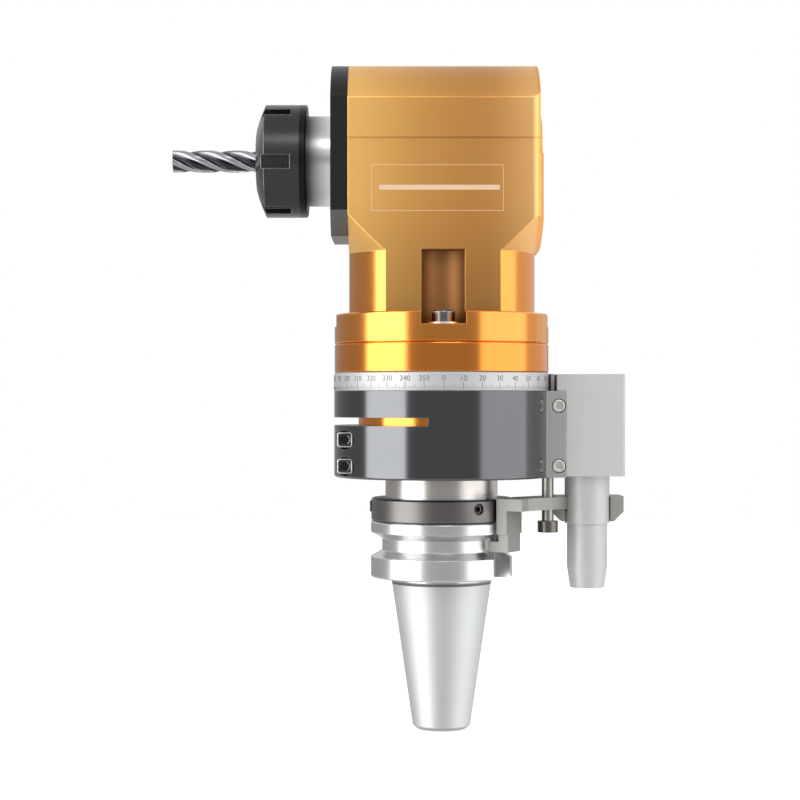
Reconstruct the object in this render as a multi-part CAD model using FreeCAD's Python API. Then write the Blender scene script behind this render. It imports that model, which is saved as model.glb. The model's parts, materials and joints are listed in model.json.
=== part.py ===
"""Right-angle head for a milling spindle: a steep-taper shank drives a tool spindle at 90 degrees.

Millimetres. The origin is the centre of the shank's gauge plane, +Z runs up the shank axis into
the head, and the tool points along -X. A piece on the tool axis is drawn about Z first, where its
height is the distance from the shank axis towards the tool tip, and is then laid on that axis.
"""

import FreeCAD
import Part
import math
import os

Vector = FreeCAD.Vector

# Clearances
RUN = 0.05
SLIP = 0.02
GAP = 0.1
LOOSE = 0.3
HOLE = 0.3
OVERCUT = 1.0

# Socket screws, as shares of the thread's radius or the head's height
HEAD_BEVEL_SHARE = 0.12
POINT_SHARE = 0.3
CAP_SOCKET_SHARE = 1.6
CAP_SOCKET_FLOOR = 0.45
SUNK_SOCKET_SHARE = 1.3
SUNK_SOCKET_DEPTH = 0.9
SIDES = 6

# Shank: 7:24 steep taper with a gripper flange
GAUGE_R = 22.225
TAPER_LENGTH = 65.4
TAPER_SLOPE = 3.5 / 24
TAPER_EDGE = 1.5
PULL_THREAD_R = 7.0
PULL_THREAD_DEPTH = 32.0
PULL_PILOT_R = 8.5
PULL_PILOT_DEPTH = 7.0
FLANGE_R = 31.5
FLANGE_BOTTOM = 2.0
FLANGE_TOP = 27.0
FLANGE_BEVEL = 0.6
GROOVE_Z = 16.6
GROOVE_ROOT_R = 26.5
GROOVE_HALF = 2.55
GROOVE_FLANK = 30.0
KEYWAY_WIDTH = 16.1
KEYWAY_FLOOR = 22.6
KEYWAY_ANGLE = -30.0
NECK_R = 25.0
SEAL_JOURNAL_R = 20.0
SHAFT_R = 16.5
GEAR_SEAT_R = 10.0

# Collar on the neck, with three radial screws
COLLAR_R = 31.3
COLLAR_HEIGHT = 10.2
COLLAR_BEVEL = 0.7
COLLAR_SCREW_R = 2.5
COLLAR_SCREW_Z = 33.3
COLLAR_SCREW_DEPTH = 1.5
COLLAR_SCREW_PROUD = 0.6
COLLAR_SCREW_SUNK = -1.0
PROUD_ANGLE = 180.0
SUNK_ANGLES = (-60.0, 60.0)

# Clamp ring, which the machine holds still, and the turning spigot in its bore
RING_R = 47.8
RING_BOTTOM = 46.4
RING_HEIGHT = 38.2
RING_TOP = RING_BOTTOM + RING_HEIGHT
RING_BEVEL = 0.8
RING_WALL = 10.8
SPIGOT_R = RING_R - RING_WALL
SLIT_DROP = 13.4
SLIT_Z = RING_TOP - SLIT_DROP
SLIT_WIDTH = 3.5
SLIT_END_X = -6.7
SPLIT_WIDTH = 2.4
CLAMP_SCREW_INSET = 5.1
CLAMP_SCREW_X = CLAMP_SCREW_INSET - RING_R
CLAMP_SCREW_LIFT = 5.2
CLAMP_SCREW_PITCH = 11.6
CLAMP_SCREW_Z = (RING_BOTTOM + CLAMP_SCREW_LIFT, RING_BOTTOM + CLAMP_SCREW_LIFT + CLAMP_SCREW_PITCH)
CLAMP_SCREW_R = 2.5
CLAMP_HEAD_R = 3.9
CLAMP_HEAD = 4.5
CLAMP_SEAT_Y = 13.0
CLAMP_GRIP_Y = 13.0
LUG_OVERLAP = 7.8
LUG_REACH = 6.8
LUG_START_X = RING_R - LUG_OVERLAP
LUG_X = RING_R + LUG_REACH
LUG_HALF = 13.0
FORK_HALF = 5.0
BLOCK_SCREW_REACH = 3.5
BLOCK_SCREW_X = RING_R + BLOCK_SCREW_REACH
BLOCK_SCREW_LIFT = 5.1
BLOCK_SCREW_DROP = 6.6
BLOCK_SCREW_Z = (RING_BOTTOM + BLOCK_SCREW_LIFT, RING_TOP - BLOCK_SCREW_DROP)
BLOCK_SCREW_R = 2.0
BLOCK_HEAD_R = 2.9
BLOCK_HEAD = 2.5

# Graduated ring
DIAL_HEIGHT = 8.0
DIAL_TOP = RING_TOP + DIAL_HEIGHT
DIAL_PROUD = 0.2
DIAL_R = RING_R + DIAL_PROUD
DIAL_BEVEL = 0.4
INDEX_THICKNESS = 1.6
INDEX_HALF = 7.0

# Stop block, its plug and the sprung locating pin
PIN_REACH = 17.2
PIN_X = RING_R + PIN_REACH
PIN_R = 9.0
PIN_BOTTOM = -2.8
PIN_SHOULDER = 25.8
PIN_LEAD = 9.3
PIN_TIP_R = 7.6
PIN_TRAVEL = 5.0
PLUNGER_R = 10.0
STEM_R = 4.0
BLOCK_HALF_X = 15.6
BLOCK_HALF_Y = 13.0
BLOCK_LIFT = 0.6
BLOCK_BOTTOM = RING_BOTTOM + BLOCK_LIFT
PLUNGER_DEPTH = 17.0
PLUNGER_TOP = BLOCK_BOTTOM + PLUNGER_DEPTH
STEM_HEIGHT = 12.0
STEM_TOP = PLUNGER_TOP + STEM_HEIGHT
BLOCK_TOP = DIAL_TOP - BLOCK_LIFT
BLOCK_INSET = 2.8
BLOCK_INNER_X = RING_R + BLOCK_INSET
BLOCK_BEVEL = 1.2
TONGUE_START_X = RING_R + GAP
PLUG_R = 10.5
PLUG_THICKNESS = 5.0
SPRING_R = 7.4
SPRING_WIRE_R = 0.9
SPRING_TURNS = 5

# Lock lever and the screw that guides it
LEVER_BOTTOM = 32.3
LEVER_TOP = 37.7
ARM_HALF = 7.5
HUB_BOTTOM = 26.6
HUB_HALF_X = 16.0
HUB_FRONT_Y = -3.4
HUB_REAR_Y = 15.5
HUB_BEVEL = 4.4
NOSE_GAP = 0.7
NOSE_THICKNESS = 4.0
NOSE_BOTTOM = 22.1
TOOTH_HALF = 6.0
TOOTH_REACH = 27.4
TOOTH_BOTTOM = 14.2
TOOTH_TOP = 18.9
GUIDE_INSET = 1.0
GUIDE_X = RING_R - GUIDE_INSET
GUIDE_Y = -8.0
GUIDE_R = 2.6
GUIDE_THREAD_R = 2.0
GUIDE_THREAD = 8.0
GUIDE_HEAD_R = 4.5
GUIDE_HEAD = 5.0
LEVER_SCREW_R = 2.5

# Base ring and head housing
BASE_STEP = 0.2
BASE_R = RING_R - BASE_STEP
BASE_HEIGHT = 12.8
BASE_TOP = DIAL_TOP + BASE_HEIGHT
BASE_BORE_R = 28.0
REGISTER = 4.0
HEAD_AXIS_RISE = 81.6
HEAD_FLANGE_HEIGHT = 13.1
HEAD_NECK_HEIGHT = 26.5
HEAD_AXIS_Z = BASE_TOP + HEAD_AXIS_RISE
HEAD_FLANGE_TOP = BASE_TOP + HEAD_FLANGE_HEIGHT
HEAD_NECK_R = 42.0
HEAD_NECK_TOP = HEAD_FLANGE_TOP + HEAD_NECK_HEIGHT
TURN_RISE = 1.39
ARCH_R = 42.0
HEAD_HALF = 34.0
BAND_STEP = 0.8
BAND_RISE = 6.4
BAND_Z = HEAD_AXIS_Z + BAND_RISE
HEAD_FRONT = 41.0
HEAD_REAR = -43.6
HEAD_CORNER_R = 6.0
EDGE_BEVEL = 0.5
POCKET_R = 9.6
POCKET_AXIS = 36.0
POCKET_FLOOR = 7.6
POCKET_BOTTOM = BASE_TOP + POCKET_FLOOR
POCKET_HEIGHT = 32.4
POCKET_TOP = POCKET_BOTTOM + POCKET_HEIGHT
BOLT_CIRCLE = 37.0
BOLT_R = 3.0
BOLT_HEAD_R = 5.0
BOLT_HEAD = 6.0
BOLT_GRIP = 12.0
BOLT_ANGLES = (0.0, 90.0, 180.0, 270.0)
GEAR_ROOM_R = 22.2
GEAR_ROOM_DROP = 11.0
GEAR_ROOM_TOP = HEAD_AXIS_Z - GEAR_ROOM_DROP
GEAR_ROOM_BACK = 4.0
PASSAGE_R = 13.0

# Covers
COVER_THICKNESS = 7.5
COVER_DROP = 35.2
COVER_BOTTOM = HEAD_AXIS_Z - COVER_DROP
COVER_LIP = 1.0
SPACER = 3.0
COVER_SCREW_CIRCLE = 33.0
COVER_SCREWS = 4
COVER_SCREW_R = 2.5
COVER_SCREW_GRIP = 10.0
CAP_R = 22.0
CAP_THICKNESS = 4.0
CAP_SCREW_CIRCLE = 18.5
CAP_SCREWS = 4
CAP_SCREW_R = 1.5
CAP_SCREW_LENGTH = 9.0
SEAL_COVER_PROUD = 2.0
SEAL_COVER_R = SPIGOT_R + SEAL_COVER_PROUD
SEAL_COVER_HEIGHT = 6.0
SEAL_COVER_TOP = RING_BOTTOM + SEAL_COVER_HEIGHT
SEAL_COVER_LIP = 2.6
SEAL_R = 26.0
SEAL_COVER_SCREW_R = 1.5
SEAL_COVER_SCREW_LENGTH = 12.0
SEAL_COVER_SCREWS = 6

# Bearings: seat on the shaft, bore of the housing, width and lower face
LOWER_SEAT_R = 17.5
LOWER_BORE_R = 31.0
LOWER_WIDTH = 14.0
LOWER_RISE = 9.6
LOWER_Z = RING_BOTTOM + LOWER_RISE
UPPER_SEAT_R = 15.0
UPPER_BORE_R = 23.5
UPPER_WIDTH = 9.0
UPPER_DROP = 50.0
UPPER_Z = HEAD_AXIS_Z - UPPER_DROP
FRONT_SEAT_R = 17.5
FRONT_BORE_R = 23.5
FRONT_WIDTH = 7.0
FRONT_BACK = 26.5
FRONT_ROWS = 2
REAR_SEAT_R = 8.5
REAR_BORE_R = 15.0
REAR_WIDTH = 7.0
REAR_BACK = -34.0
BALL_SHARE = 0.29
GROOVE_SHARE = 0.62
CAGE_SHARE = 0.22
CAGE_WIDTH = 1.25
FILL = 0.45
LOCK_NUT_R = 25.0
LOCK_NUT_HEIGHT = 8.0
LOCK_NUT_SLOT = 5.0
LOCK_NUT_SLOTS = 4

# Mitre gears
TEETH = 20
MODULE = 2.0
FACE_WIDTH = 8.0
PRESSURE_ANGLE = 20.0
BACKLASH = 0.16
DEDENDUM = 1.25
WEB = 1.6
FOOT = 2.2
FLANK_STEPS = 4
INNER_SHARE = 0.55
OUTER_SHARE = 1.25
DRIVE_HUB_R = 17.5
DRIVEN_HUB_R = 19.0
KEY_WIDTH = 5.0
KEY_LENGTH = 8.0
KEY_DEPTH = 2.0
GEAR_SCREW_R = 4.0
GEAR_SCREW_LENGTH = 18.0
GEAR_SCREW_HEAD_R = 12.0
GEAR_SCREW_HEAD = 3.0
GEAR_NUT_R = 12.0
GEAR_NUT_WIDTH = 4.9
TAIL_R = 9.2
CLIP_R = 11.0
CLIP_WIDTH = 1.2
CLIP_DEPTH = 0.6

# Tool spindle, collet, nut and cutter, as distances from the shank axis
NOSE_R = 20.0
NOSE_FRONT = 76.5
NOSE_BORE_R = 10.5
NOSE_BORE_BACK = 34.0
COLLET_ANGLE = 8.0
COLLET_FRONT = 81.4
COLLET_SHOULDER = 76.0
COLLET_BACK = 42.0
COLLET_R = 16.5
COLLET_FACE_R = 13.2
COLLET_GROOVE_R = 14.6
COLLET_GROOVE = 1.6
COLLET_SLITS = 8
COLLET_SLIT_WIDTH = 0.8
COLLET_SLIT_LENGTH = 30.0
NUT_R = 25.0
NUT_FRONT = 82.0
NUT_BACK = 59.6
NUT_SHOULDER = 77.9
NUT_DOME_R = 56.0
NUT_SLOTS = 6
NUT_SLOT_WIDTH = 6.0
NUT_SLOT_DEPTH = 3.0
NUT_SLOT_END = 66.5
NUT_SLOT_TILT = 83.3
CUTTER_R = 5.0
CUTTER_TIP = 119.8
CUTTER_FLUTE_START = 82.5
CUTTER_BACK = 46.0
CUTTER_TEETH = 4
CUTTER_LEAD = 54.4
CUTTER_CORE_R = 2.9
CUTTER_STATIONS = 18
LAND_SHARE = 0.12
HEEL_SHARE = 0.19
HEEL_RISE = 0.7
ROOT_SHARE = 0.4
RAKE_SHARE = 0.67
RAKE_RISE = 1.0

# Worked out from the sizes above
CONE = TEETH * MODULE / 2
CONE_LENGTH = CONE * math.sqrt(2)
HALF_ROOT = math.sqrt(0.5)
SEAL_COVER_SCREW_CIRCLE = (LOWER_BORE_R + SPIGOT_R) / 2
UPPER_TOP = UPPER_Z + UPPER_WIDTH
LOWER_TOP = LOWER_Z + LOWER_WIDTH
FRONT_END = FRONT_BACK + FRONT_ROWS * FRONT_WIDTH
GEAR_FACE = (CONE + WEB * MODULE * HALF_ROOT) * (1 - FACE_WIDTH / CONE_LENGTH)
COVER_FRONT = HEAD_FRONT + COVER_THICKNESS


def cylinder(radius, low, high):
    """Upright cylinder about Z between two heights."""
    return Part.makeCylinder(radius, high - low, Vector(0, 0, low))


def tube(inner, outer, low, high):
    """Upright tube about Z."""
    return cylinder(outer, low, high).cut(cylinder(inner, low - OVERCUT, high + OVERCUT))


def block(x0, x1, y0, y1, z0, z1):
    """Box between two corners."""
    return Part.makeBox(x1 - x0, y1 - y0, z1 - z0, Vector(x0, y0, z0))


def turned(points):
    """Solid of revolution about Z from a closed outline of (radius, height) points."""
    corners = [Vector(r, 0, z) for r, z in points]
    face = Part.Face(Part.makePolygon(corners + corners[:1]))
    return face.revolve(Vector(0, 0, 0), Vector(0, 0, 1), 360)


def prism(points, low, high):
    """Upright prism over a closed plan of (x, y) points."""
    corners = [Vector(x, y, low) for x, y in points]
    return Part.Face(Part.makePolygon(corners + corners[:1])).extrude(Vector(0, 0, high - low))


def spun(shape, angle):
    """Copy turned about Z."""
    copy = shape.copy()
    copy.rotate(Vector(0, 0, 0), Vector(0, 0, 1), angle)
    return copy


def round_z(shape, count, start=0.0):
    """Copies spread evenly about Z."""
    return [spun(shape, start + 360.0 * i / count) for i in range(count)]


def aimed(shape, origin, direction):
    """Copy with its +Z laid along a direction and its origin moved to a point."""
    copy = shape.copy()
    turn = FreeCAD.Rotation(Vector(0, 0, 1), Vector(*direction))
    copy.Placement = FreeCAD.Placement(Vector(*origin), turn).multiply(copy.Placement)
    return copy


def moved(shape, x=0.0, y=0.0, z=0.0):
    """Copy moved by a step."""
    copy = shape.copy()
    copy.translate(Vector(x, y, z))
    return copy


def on_tool_axis(shape):
    """Copy laid on the tool axis: its +Z points towards the tool tip and its +X points up."""
    copy = shape.copy()
    copy.rotate(Vector(0, 0, 0), Vector(0, 1, 0), -90)
    copy.translate(Vector(0, 0, HEAD_AXIS_Z))
    return copy


def straight_edges(shape, axis):
    """Straight edges of a shape that run along one axis."""
    straight = [e for e in shape.Edges if isinstance(e.Curve, (Part.Line, Part.LineSegment))]
    return [e for e in straight if round(abs(getattr(e.tangentAt(e.FirstParameter), axis))) == 1]


def cut_all(shape, tools):
    """Shape without the tools."""
    for tool in tools:
        shape = shape.cut(tool)
    return shape


def joined(shapes):
    """One solid fused from shapes that touch."""
    return shapes[0].fuse(shapes[1:]).removeSplitter()


def hexagon(across_flats, low, high):
    """Upright hexagonal prism about Z."""
    radius = across_flats / math.sqrt(3)
    turns = [2 * math.pi * i / SIDES for i in range(SIDES)]
    return prism([(radius * math.cos(a), radius * math.sin(a)) for a in turns], low, high)


def cap_screw(radius, length, head_radius, head_height):
    """Socket head screw: the head stands on z = 0 and the shank hangs below it."""
    bevel = HEAD_BEVEL_SHARE * head_height
    point = radius * POINT_SHARE
    body = turned([
        (0, -length), (radius - point, -length), (radius, -length + point), (radius, 0),
        (head_radius, 0), (head_radius, head_height - bevel),
        (head_radius - bevel, head_height), (0, head_height),
    ])
    return body.cut(hexagon(CAP_SOCKET_SHARE * radius, head_height * CAP_SOCKET_FLOOR, head_height + OVERCUT))


def countersunk(radius, length):
    """Countersunk screw: the flat of its head lies at z = 0 and the shank hangs below it."""
    body = turned([(0, -length), (radius, -length), (radius, -radius), (2 * radius, 0), (0, 0)])
    return body.cut(hexagon(SUNK_SOCKET_SHARE * radius, -SUNK_SOCKET_DEPTH * radius, OVERCUT))


def sink(radius, length):
    """Hole that a countersunk screw fills, opening at z = 0."""
    return turned([
        (0, -length), (radius, -length), (radius, -radius), (2 * radius, 0), (2 * radius, 1), (0, 1),
    ])


def direction(angle):
    """Horizontal unit direction at an angle about Z."""
    return (math.cos(math.radians(angle)), math.sin(math.radians(angle)), 0.0)


def bearing(seat, bore, width, low):
    """Deep-groove ball bearing about Z: inner ring, outer ring, and the balls with their cage."""
    pitch = (seat + bore) / 2
    ball = BALL_SHARE * (bore - seat)
    mid = low + width / 2
    count = int(FILL * math.pi * pitch / ball)
    groove = Part.makeTorus(pitch, ball + RUN, Vector(0, 0, mid))
    inner = tube(seat, pitch - GROOVE_SHARE * ball, low, low + width).cut(groove)
    outer = tube(pitch + GROOVE_SHARE * ball, bore, low, low + width).cut(groove)
    centre = Vector(pitch, 0, mid)
    balls = round_z(Part.makeSphere(ball, centre), count)
    cage = tube(pitch - CAGE_SHARE * ball, pitch + CAGE_SHARE * ball,
                mid - CAGE_WIDTH * ball, mid + CAGE_WIDTH * ball)
    pocket = aimed(cylinder(ball + SLIP, pitch - ball, pitch + ball), (0, 0, mid), (1, 0, 0))
    cage = cut_all(cage, round_z(pocket, count))
    return inner, outer, balls + [cage]


def lower_bearing():
    """Bearing of the shank in the spigot."""
    return bearing(LOWER_SEAT_R, LOWER_BORE_R, LOWER_WIDTH, LOWER_Z)


def upper_bearing():
    """Bearing of the shank under its gear."""
    return bearing(UPPER_SEAT_R, UPPER_BORE_R, UPPER_WIDTH, UPPER_Z)


def front_bearing(row):
    """One of the bearings behind the spindle nose."""
    low = FRONT_BACK + row * FRONT_WIDTH
    return [on_tool_axis_all(part) for part in bearing(FRONT_SEAT_R, FRONT_BORE_R, FRONT_WIDTH, low)]


def rear_bearing():
    """Bearing at the tail of the tool spindle."""
    parts = bearing(REAR_SEAT_R, REAR_BORE_R, REAR_WIDTH, REAR_BACK)
    return [on_tool_axis_all(part) for part in parts]


def on_tool_axis_all(part):
    """Shape or list of shapes laid on the tool axis."""
    if isinstance(part, list):
        return [on_tool_axis(one) for one in part]
    return on_tool_axis(part)


def keyway_cut(angle):
    """Drive slot of the flange, open outwards, at an angle about Z."""
    half = KEYWAY_WIDTH / 2
    slot = block(KEYWAY_FLOOR, FLANGE_R + OVERCUT, -half, half, FLANGE_BOTTOM - OVERCUT, FLANGE_TOP + SLIP)
    return spun(slot, angle)


def taper_shank():
    """Taper, gripper flange, neck and the shaft that carries both bearings and the drive gear."""
    end_r = GAUGE_R - TAPER_LENGTH * TAPER_SLOPE
    flank = (FLANGE_R - GROOVE_ROOT_R) * math.tan(math.radians(GROOVE_FLANK))
    low, high = GROOVE_Z - GROOVE_HALF, GROOVE_Z + GROOVE_HALF
    neck_top = RING_BOTTOM + RING_BEVEL
    nut_top = LOWER_TOP + LOCK_NUT_HEIGHT
    gear_top = HEAD_AXIS_Z - GEAR_FACE - GAP
    shank = turned([
        (0, -TAPER_LENGTH), (end_r - TAPER_EDGE, -TAPER_LENGTH),
        (end_r + TAPER_EDGE * TAPER_SLOPE, -TAPER_LENGTH + TAPER_EDGE), (GAUGE_R, 0),
        (GAUGE_R - FLANGE_BEVEL, FLANGE_BEVEL), (GAUGE_R - FLANGE_BEVEL, FLANGE_BOTTOM),
        (FLANGE_R - FLANGE_BEVEL, FLANGE_BOTTOM), (FLANGE_R, FLANGE_BOTTOM + FLANGE_BEVEL),
        (FLANGE_R, low - flank), (GROOVE_ROOT_R, low), (GROOVE_ROOT_R, high),
        (FLANGE_R, high + flank), (FLANGE_R, FLANGE_TOP - FLANGE_BEVEL),
        (FLANGE_R - FLANGE_BEVEL, FLANGE_TOP), (NECK_R, FLANGE_TOP), (NECK_R, neck_top),
        (SEAL_JOURNAL_R, neck_top), (SEAL_JOURNAL_R, LOWER_Z), (LOWER_SEAT_R, LOWER_Z),
        (LOWER_SEAT_R, nut_top), (SHAFT_R, nut_top), (SHAFT_R, UPPER_Z), (UPPER_SEAT_R, UPPER_Z),
        (UPPER_SEAT_R, UPPER_TOP), (GEAR_SEAT_R, UPPER_TOP), (GEAR_SEAT_R, gear_top), (0, gear_top),
    ])
    thread_top = -TAPER_LENGTH + PULL_PILOT_DEPTH + PULL_THREAD_DEPTH
    cuts = [
        cylinder(PULL_PILOT_R, -TAPER_LENGTH - OVERCUT, -TAPER_LENGTH + PULL_PILOT_DEPTH),
        cylinder(PULL_THREAD_R, -TAPER_LENGTH, thread_top),
        keyway_cut(KEYWAY_ANGLE), keyway_cut(KEYWAY_ANGLE + 180),
        cylinder(GEAR_SCREW_R, gear_top - GEAR_SCREW_LENGTH, gear_top + OVERCUT),
        drive_key(),
    ]
    return cut_all(shank, cuts + collar_screw_room())


def collar_screw_angles():
    """Each screw's angle about Z and how far it stands out of the collar."""
    return [(PROUD_ANGLE, COLLAR_SCREW_PROUD)] + [(a, COLLAR_SCREW_SUNK) for a in SUNK_ANGLES]


def collar_screw_room():
    """Radial holes for the collar's screws."""
    hole = cylinder(COLLAR_SCREW_R, NECK_R - COLLAR_SCREW_DEPTH, COLLAR_R + 2)
    return [aimed(hole, (0, 0, COLLAR_SCREW_Z), direction(a)) for a, _ in collar_screw_angles()]


def collar_screws():
    """Three radial set screws with hexagon sockets."""
    screws = []
    for angle, proud in collar_screw_angles():
        end = COLLAR_R + proud
        screw = cylinder(COLLAR_SCREW_R, NECK_R - COLLAR_SCREW_DEPTH, end)
        screw = screw.cut(hexagon(COLLAR_SCREW_R, end - COLLAR_SCREW_R, end + OVERCUT))
        screws.append(aimed(screw, (0, 0, COLLAR_SCREW_Z), direction(angle)))
    return screws


def index_collar():
    """Dark collar on the neck above the flange."""
    low, high = FLANGE_TOP, FLANGE_TOP + COLLAR_HEIGHT
    collar = turned([
        (NECK_R, low), (COLLAR_R - COLLAR_BEVEL, low), (COLLAR_R, low + COLLAR_BEVEL),
        (COLLAR_R, high - COLLAR_BEVEL), (COLLAR_R - COLLAR_BEVEL, high), (NECK_R, high),
    ])
    return cut_all(collar, collar_screw_room())


def lock_nut(seat, radius, low, height):
    """Slotted ring nut about Z."""
    nut = tube(seat, radius, low, low + height)
    half = LOCK_NUT_SLOT / 2
    slot = block(radius - half, radius + OVERCUT, -half, half, low - OVERCUT, low + height + OVERCUT)
    return cut_all(nut, round_z(slot, LOCK_NUT_SLOTS))


def drive_key():
    """Key between the shank and its gear, on the side away from the tool."""
    half = KEY_WIDTH / 2
    low = UPPER_TOP + KEY_LENGTH / 4
    return block(GEAR_SEAT_R - KEY_DEPTH, GEAR_SEAT_R + KEY_DEPTH, -half, half, low, low + KEY_LENGTH)


def driven_key():
    """Key between the tool spindle and its gear."""
    half = KEY_WIDTH / 2
    high = FRONT_BACK - 1
    key = block(GEAR_SEAT_R - KEY_DEPTH, GEAR_SEAT_R + KEY_DEPTH, -half, half, high - KEY_LENGTH, high)
    return on_tool_axis(key)


def involute(angle):
    """Involute function of a pressure angle."""
    return math.tan(angle) - angle


def space_half_angle(radius):
    """Half the angle of a tooth space, at a radius of the equivalent spur gear."""
    alpha = math.radians(PRESSURE_ANGLE)
    base = CONE_LENGTH * math.cos(alpha)
    local = math.acos(base / radius) if radius > base else 0.0
    half_pitch = math.pi * MODULE / (2 * CONE_LENGTH)
    half_tooth = (math.pi * MODULE / 2 - BACKLASH) / (2 * CONE_LENGTH)
    return half_pitch - half_tooth - involute(alpha) + involute(local)


def tooth_space():
    """Cutter for one tooth space at azimuth 0, tapering to the apex at the origin."""
    root = CONE_LENGTH - DEDENDUM * MODULE
    base = CONE_LENGTH * math.cos(math.radians(PRESSURE_ANGLE))
    tip = CONE_LENGTH + DEDENDUM * MODULE
    radii = [root] + [base + (tip - base) * i / FLANK_STEPS for i in range(FLANK_STEPS + 1)]
    side = [(r, space_half_angle(r) / HALF_ROOT) for r in radii]
    ring = [(r * HALF_ROOT, -turn) for r, turn in side]
    ring += [(r * HALF_ROOT, turn) for r, turn in reversed(side)]
    rays = [Vector(r * math.cos(turn), r * math.sin(turn), r - 2 * CONE) for r, turn in ring]
    normal = Vector(HALF_ROOT, 0, -HALF_ROOT)
    ends = []
    for share in (INNER_SHARE, OUTER_SHARE):
        corners = [ray * (CONE_LENGTH * share / ray.dot(normal)) for ray in rays]
        ends.append(Part.makePolygon(corners + corners[:1]))
    return Part.makeLoft(ends, True, True)


def mitre_gear(back, hub_r, phase):
    """Bevel gear about Z with its apex at the origin, below it, its teeth facing up."""
    inner = 1 - FACE_WIDTH / CONE_LENGTH
    tip_r, tip_z = CONE + MODULE * HALF_ROOT, -CONE + MODULE * HALF_ROOT
    web = WEB * MODULE * HALF_ROOT
    foot = FOOT * MODULE * HALF_ROOT
    blank = turned([
        (GEAR_SEAT_R, -back), (hub_r, -back), (hub_r, -CONE - foot - OVERCUT), (CONE - foot, -CONE - foot),
        (tip_r, tip_z), (tip_r * inner, tip_z * inner),
        ((CONE - web) * inner, (-CONE - web) * inner), (GEAR_SEAT_R, (-CONE - web) * inner),
    ])
    return cut_all(blank, round_z(tooth_space(), TEETH, phase))


def drive_gear():
    """Gear on the shank, with a tooth turned towards the driven gear."""
    gear = mitre_gear(HEAD_AXIS_Z - UPPER_TOP, DRIVE_HUB_R, 180.0 / TEETH)
    return moved(gear, z=HEAD_AXIS_Z).cut(drive_key())


def driven_gear():
    """Gear on the tool spindle, with a tooth space turned towards the drive gear."""
    gear = mitre_gear(FRONT_BACK, DRIVEN_HUB_R, 0.0)
    gear.rotate(Vector(0, 0, 0), Vector(0, 1, 0), 90)
    return moved(gear, z=HEAD_AXIS_Z).cut(driven_key())


def gear_screw():
    """Low-headed screw that holds the drive gear down on its shaft."""
    screw = cap_screw(GEAR_SCREW_R, GEAR_SCREW_LENGTH, GEAR_SCREW_HEAD_R, GEAR_SCREW_HEAD)
    return moved(screw, z=HEAD_AXIS_Z - GEAR_FACE)


def collet_radius(distance):
    """Radius of the collet's cone at a distance from the shank axis."""
    return COLLET_R + (distance - COLLET_SHOULDER) * math.tan(math.radians(COLLET_ANGLE))


def tool_spindle():
    """Spindle on the tool axis, from its tail bearing to the collet seat in its nose."""
    gear_low = GEAR_FACE - GEAR_NUT_WIDTH
    clip_low = REAR_BACK - CLIP_WIDTH
    tail_end = clip_low - CLIP_WIDTH
    spindle = turned([
        (0, tail_end), (REAR_SEAT_R, tail_end), (REAR_SEAT_R, clip_low),
        (REAR_SEAT_R - CLIP_DEPTH, clip_low), (REAR_SEAT_R - CLIP_DEPTH, REAR_BACK),
        (REAR_SEAT_R, REAR_BACK), (REAR_SEAT_R, REAR_BACK + REAR_WIDTH),
        (TAIL_R, REAR_BACK + REAR_WIDTH), (TAIL_R, gear_low), (GEAR_SEAT_R, gear_low),
        (GEAR_SEAT_R, FRONT_BACK), (FRONT_SEAT_R, FRONT_BACK), (FRONT_SEAT_R, FRONT_END),
        (NOSE_R, FRONT_END), (NOSE_R, NOSE_FRONT), (collet_radius(NOSE_FRONT), NOSE_FRONT),
        (collet_radius(COLLET_BACK), COLLET_BACK), (NOSE_BORE_R, COLLET_BACK - OVERCUT),
        (NOSE_BORE_R, NOSE_BORE_BACK), (0, NOSE_BORE_BACK),
    ])
    return on_tool_axis(spindle).cut(driven_key())


def gear_nut():
    """Ring nut that holds the driven gear against the spindle's shoulder."""
    nut = lock_nut(GEAR_SEAT_R, GEAR_NUT_R, GEAR_FACE - GEAR_NUT_WIDTH, GEAR_NUT_WIDTH)
    return on_tool_axis(nut)


def retaining_ring():
    """Open ring in the groove behind the tail bearing."""
    ring = tube(REAR_SEAT_R - CLIP_DEPTH, CLIP_R, REAR_BACK - CLIP_WIDTH, REAR_BACK)
    half = REAR_SEAT_R / 2
    mouth = block(0, CLIP_R + OVERCUT, -half, half, REAR_BACK - 2 * CLIP_WIDTH, REAR_BACK + OVERCUT)
    return on_tool_axis(ring.cut(mouth))


def collet():
    """Slotted spring collet with its extraction groove."""
    groove_high = COLLET_SHOULDER - COLLET_GROOVE
    groove_low = groove_high - COLLET_GROOVE
    body = turned([
        (CUTTER_R + SLIP, COLLET_BACK), (collet_radius(COLLET_BACK), COLLET_BACK),
        (collet_radius(groove_low), groove_low), (COLLET_GROOVE_R, groove_low),
        (COLLET_GROOVE_R, groove_high), (collet_radius(groove_high), groove_high),
        (COLLET_R, COLLET_SHOULDER), (COLLET_FACE_R, COLLET_FRONT), (CUTTER_R + SLIP, COLLET_FRONT),
    ])
    half = COLLET_SLIT_WIDTH / 2
    front = block(0, NOSE_R, -half, half, COLLET_FRONT - COLLET_SLIT_LENGTH, COLLET_FRONT + OVERCUT)
    rear = block(0, NOSE_R, -half, half, COLLET_BACK - OVERCUT, COLLET_BACK + COLLET_SLIT_LENGTH)
    slits = round_z(front, COLLET_SLITS) + round_z(rear, COLLET_SLITS, 180.0 / COLLET_SLITS)
    return on_tool_axis(cut_all(body, slits))


def nut_cone_radius(distance):
    """Inner radius of the nut's cone, which bears on the front of the collet."""
    slope = (COLLET_R - COLLET_FACE_R) / (COLLET_FRONT - COLLET_SHOULDER)
    return COLLET_R + RUN - slope * (distance - COLLET_SHOULDER)


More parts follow.
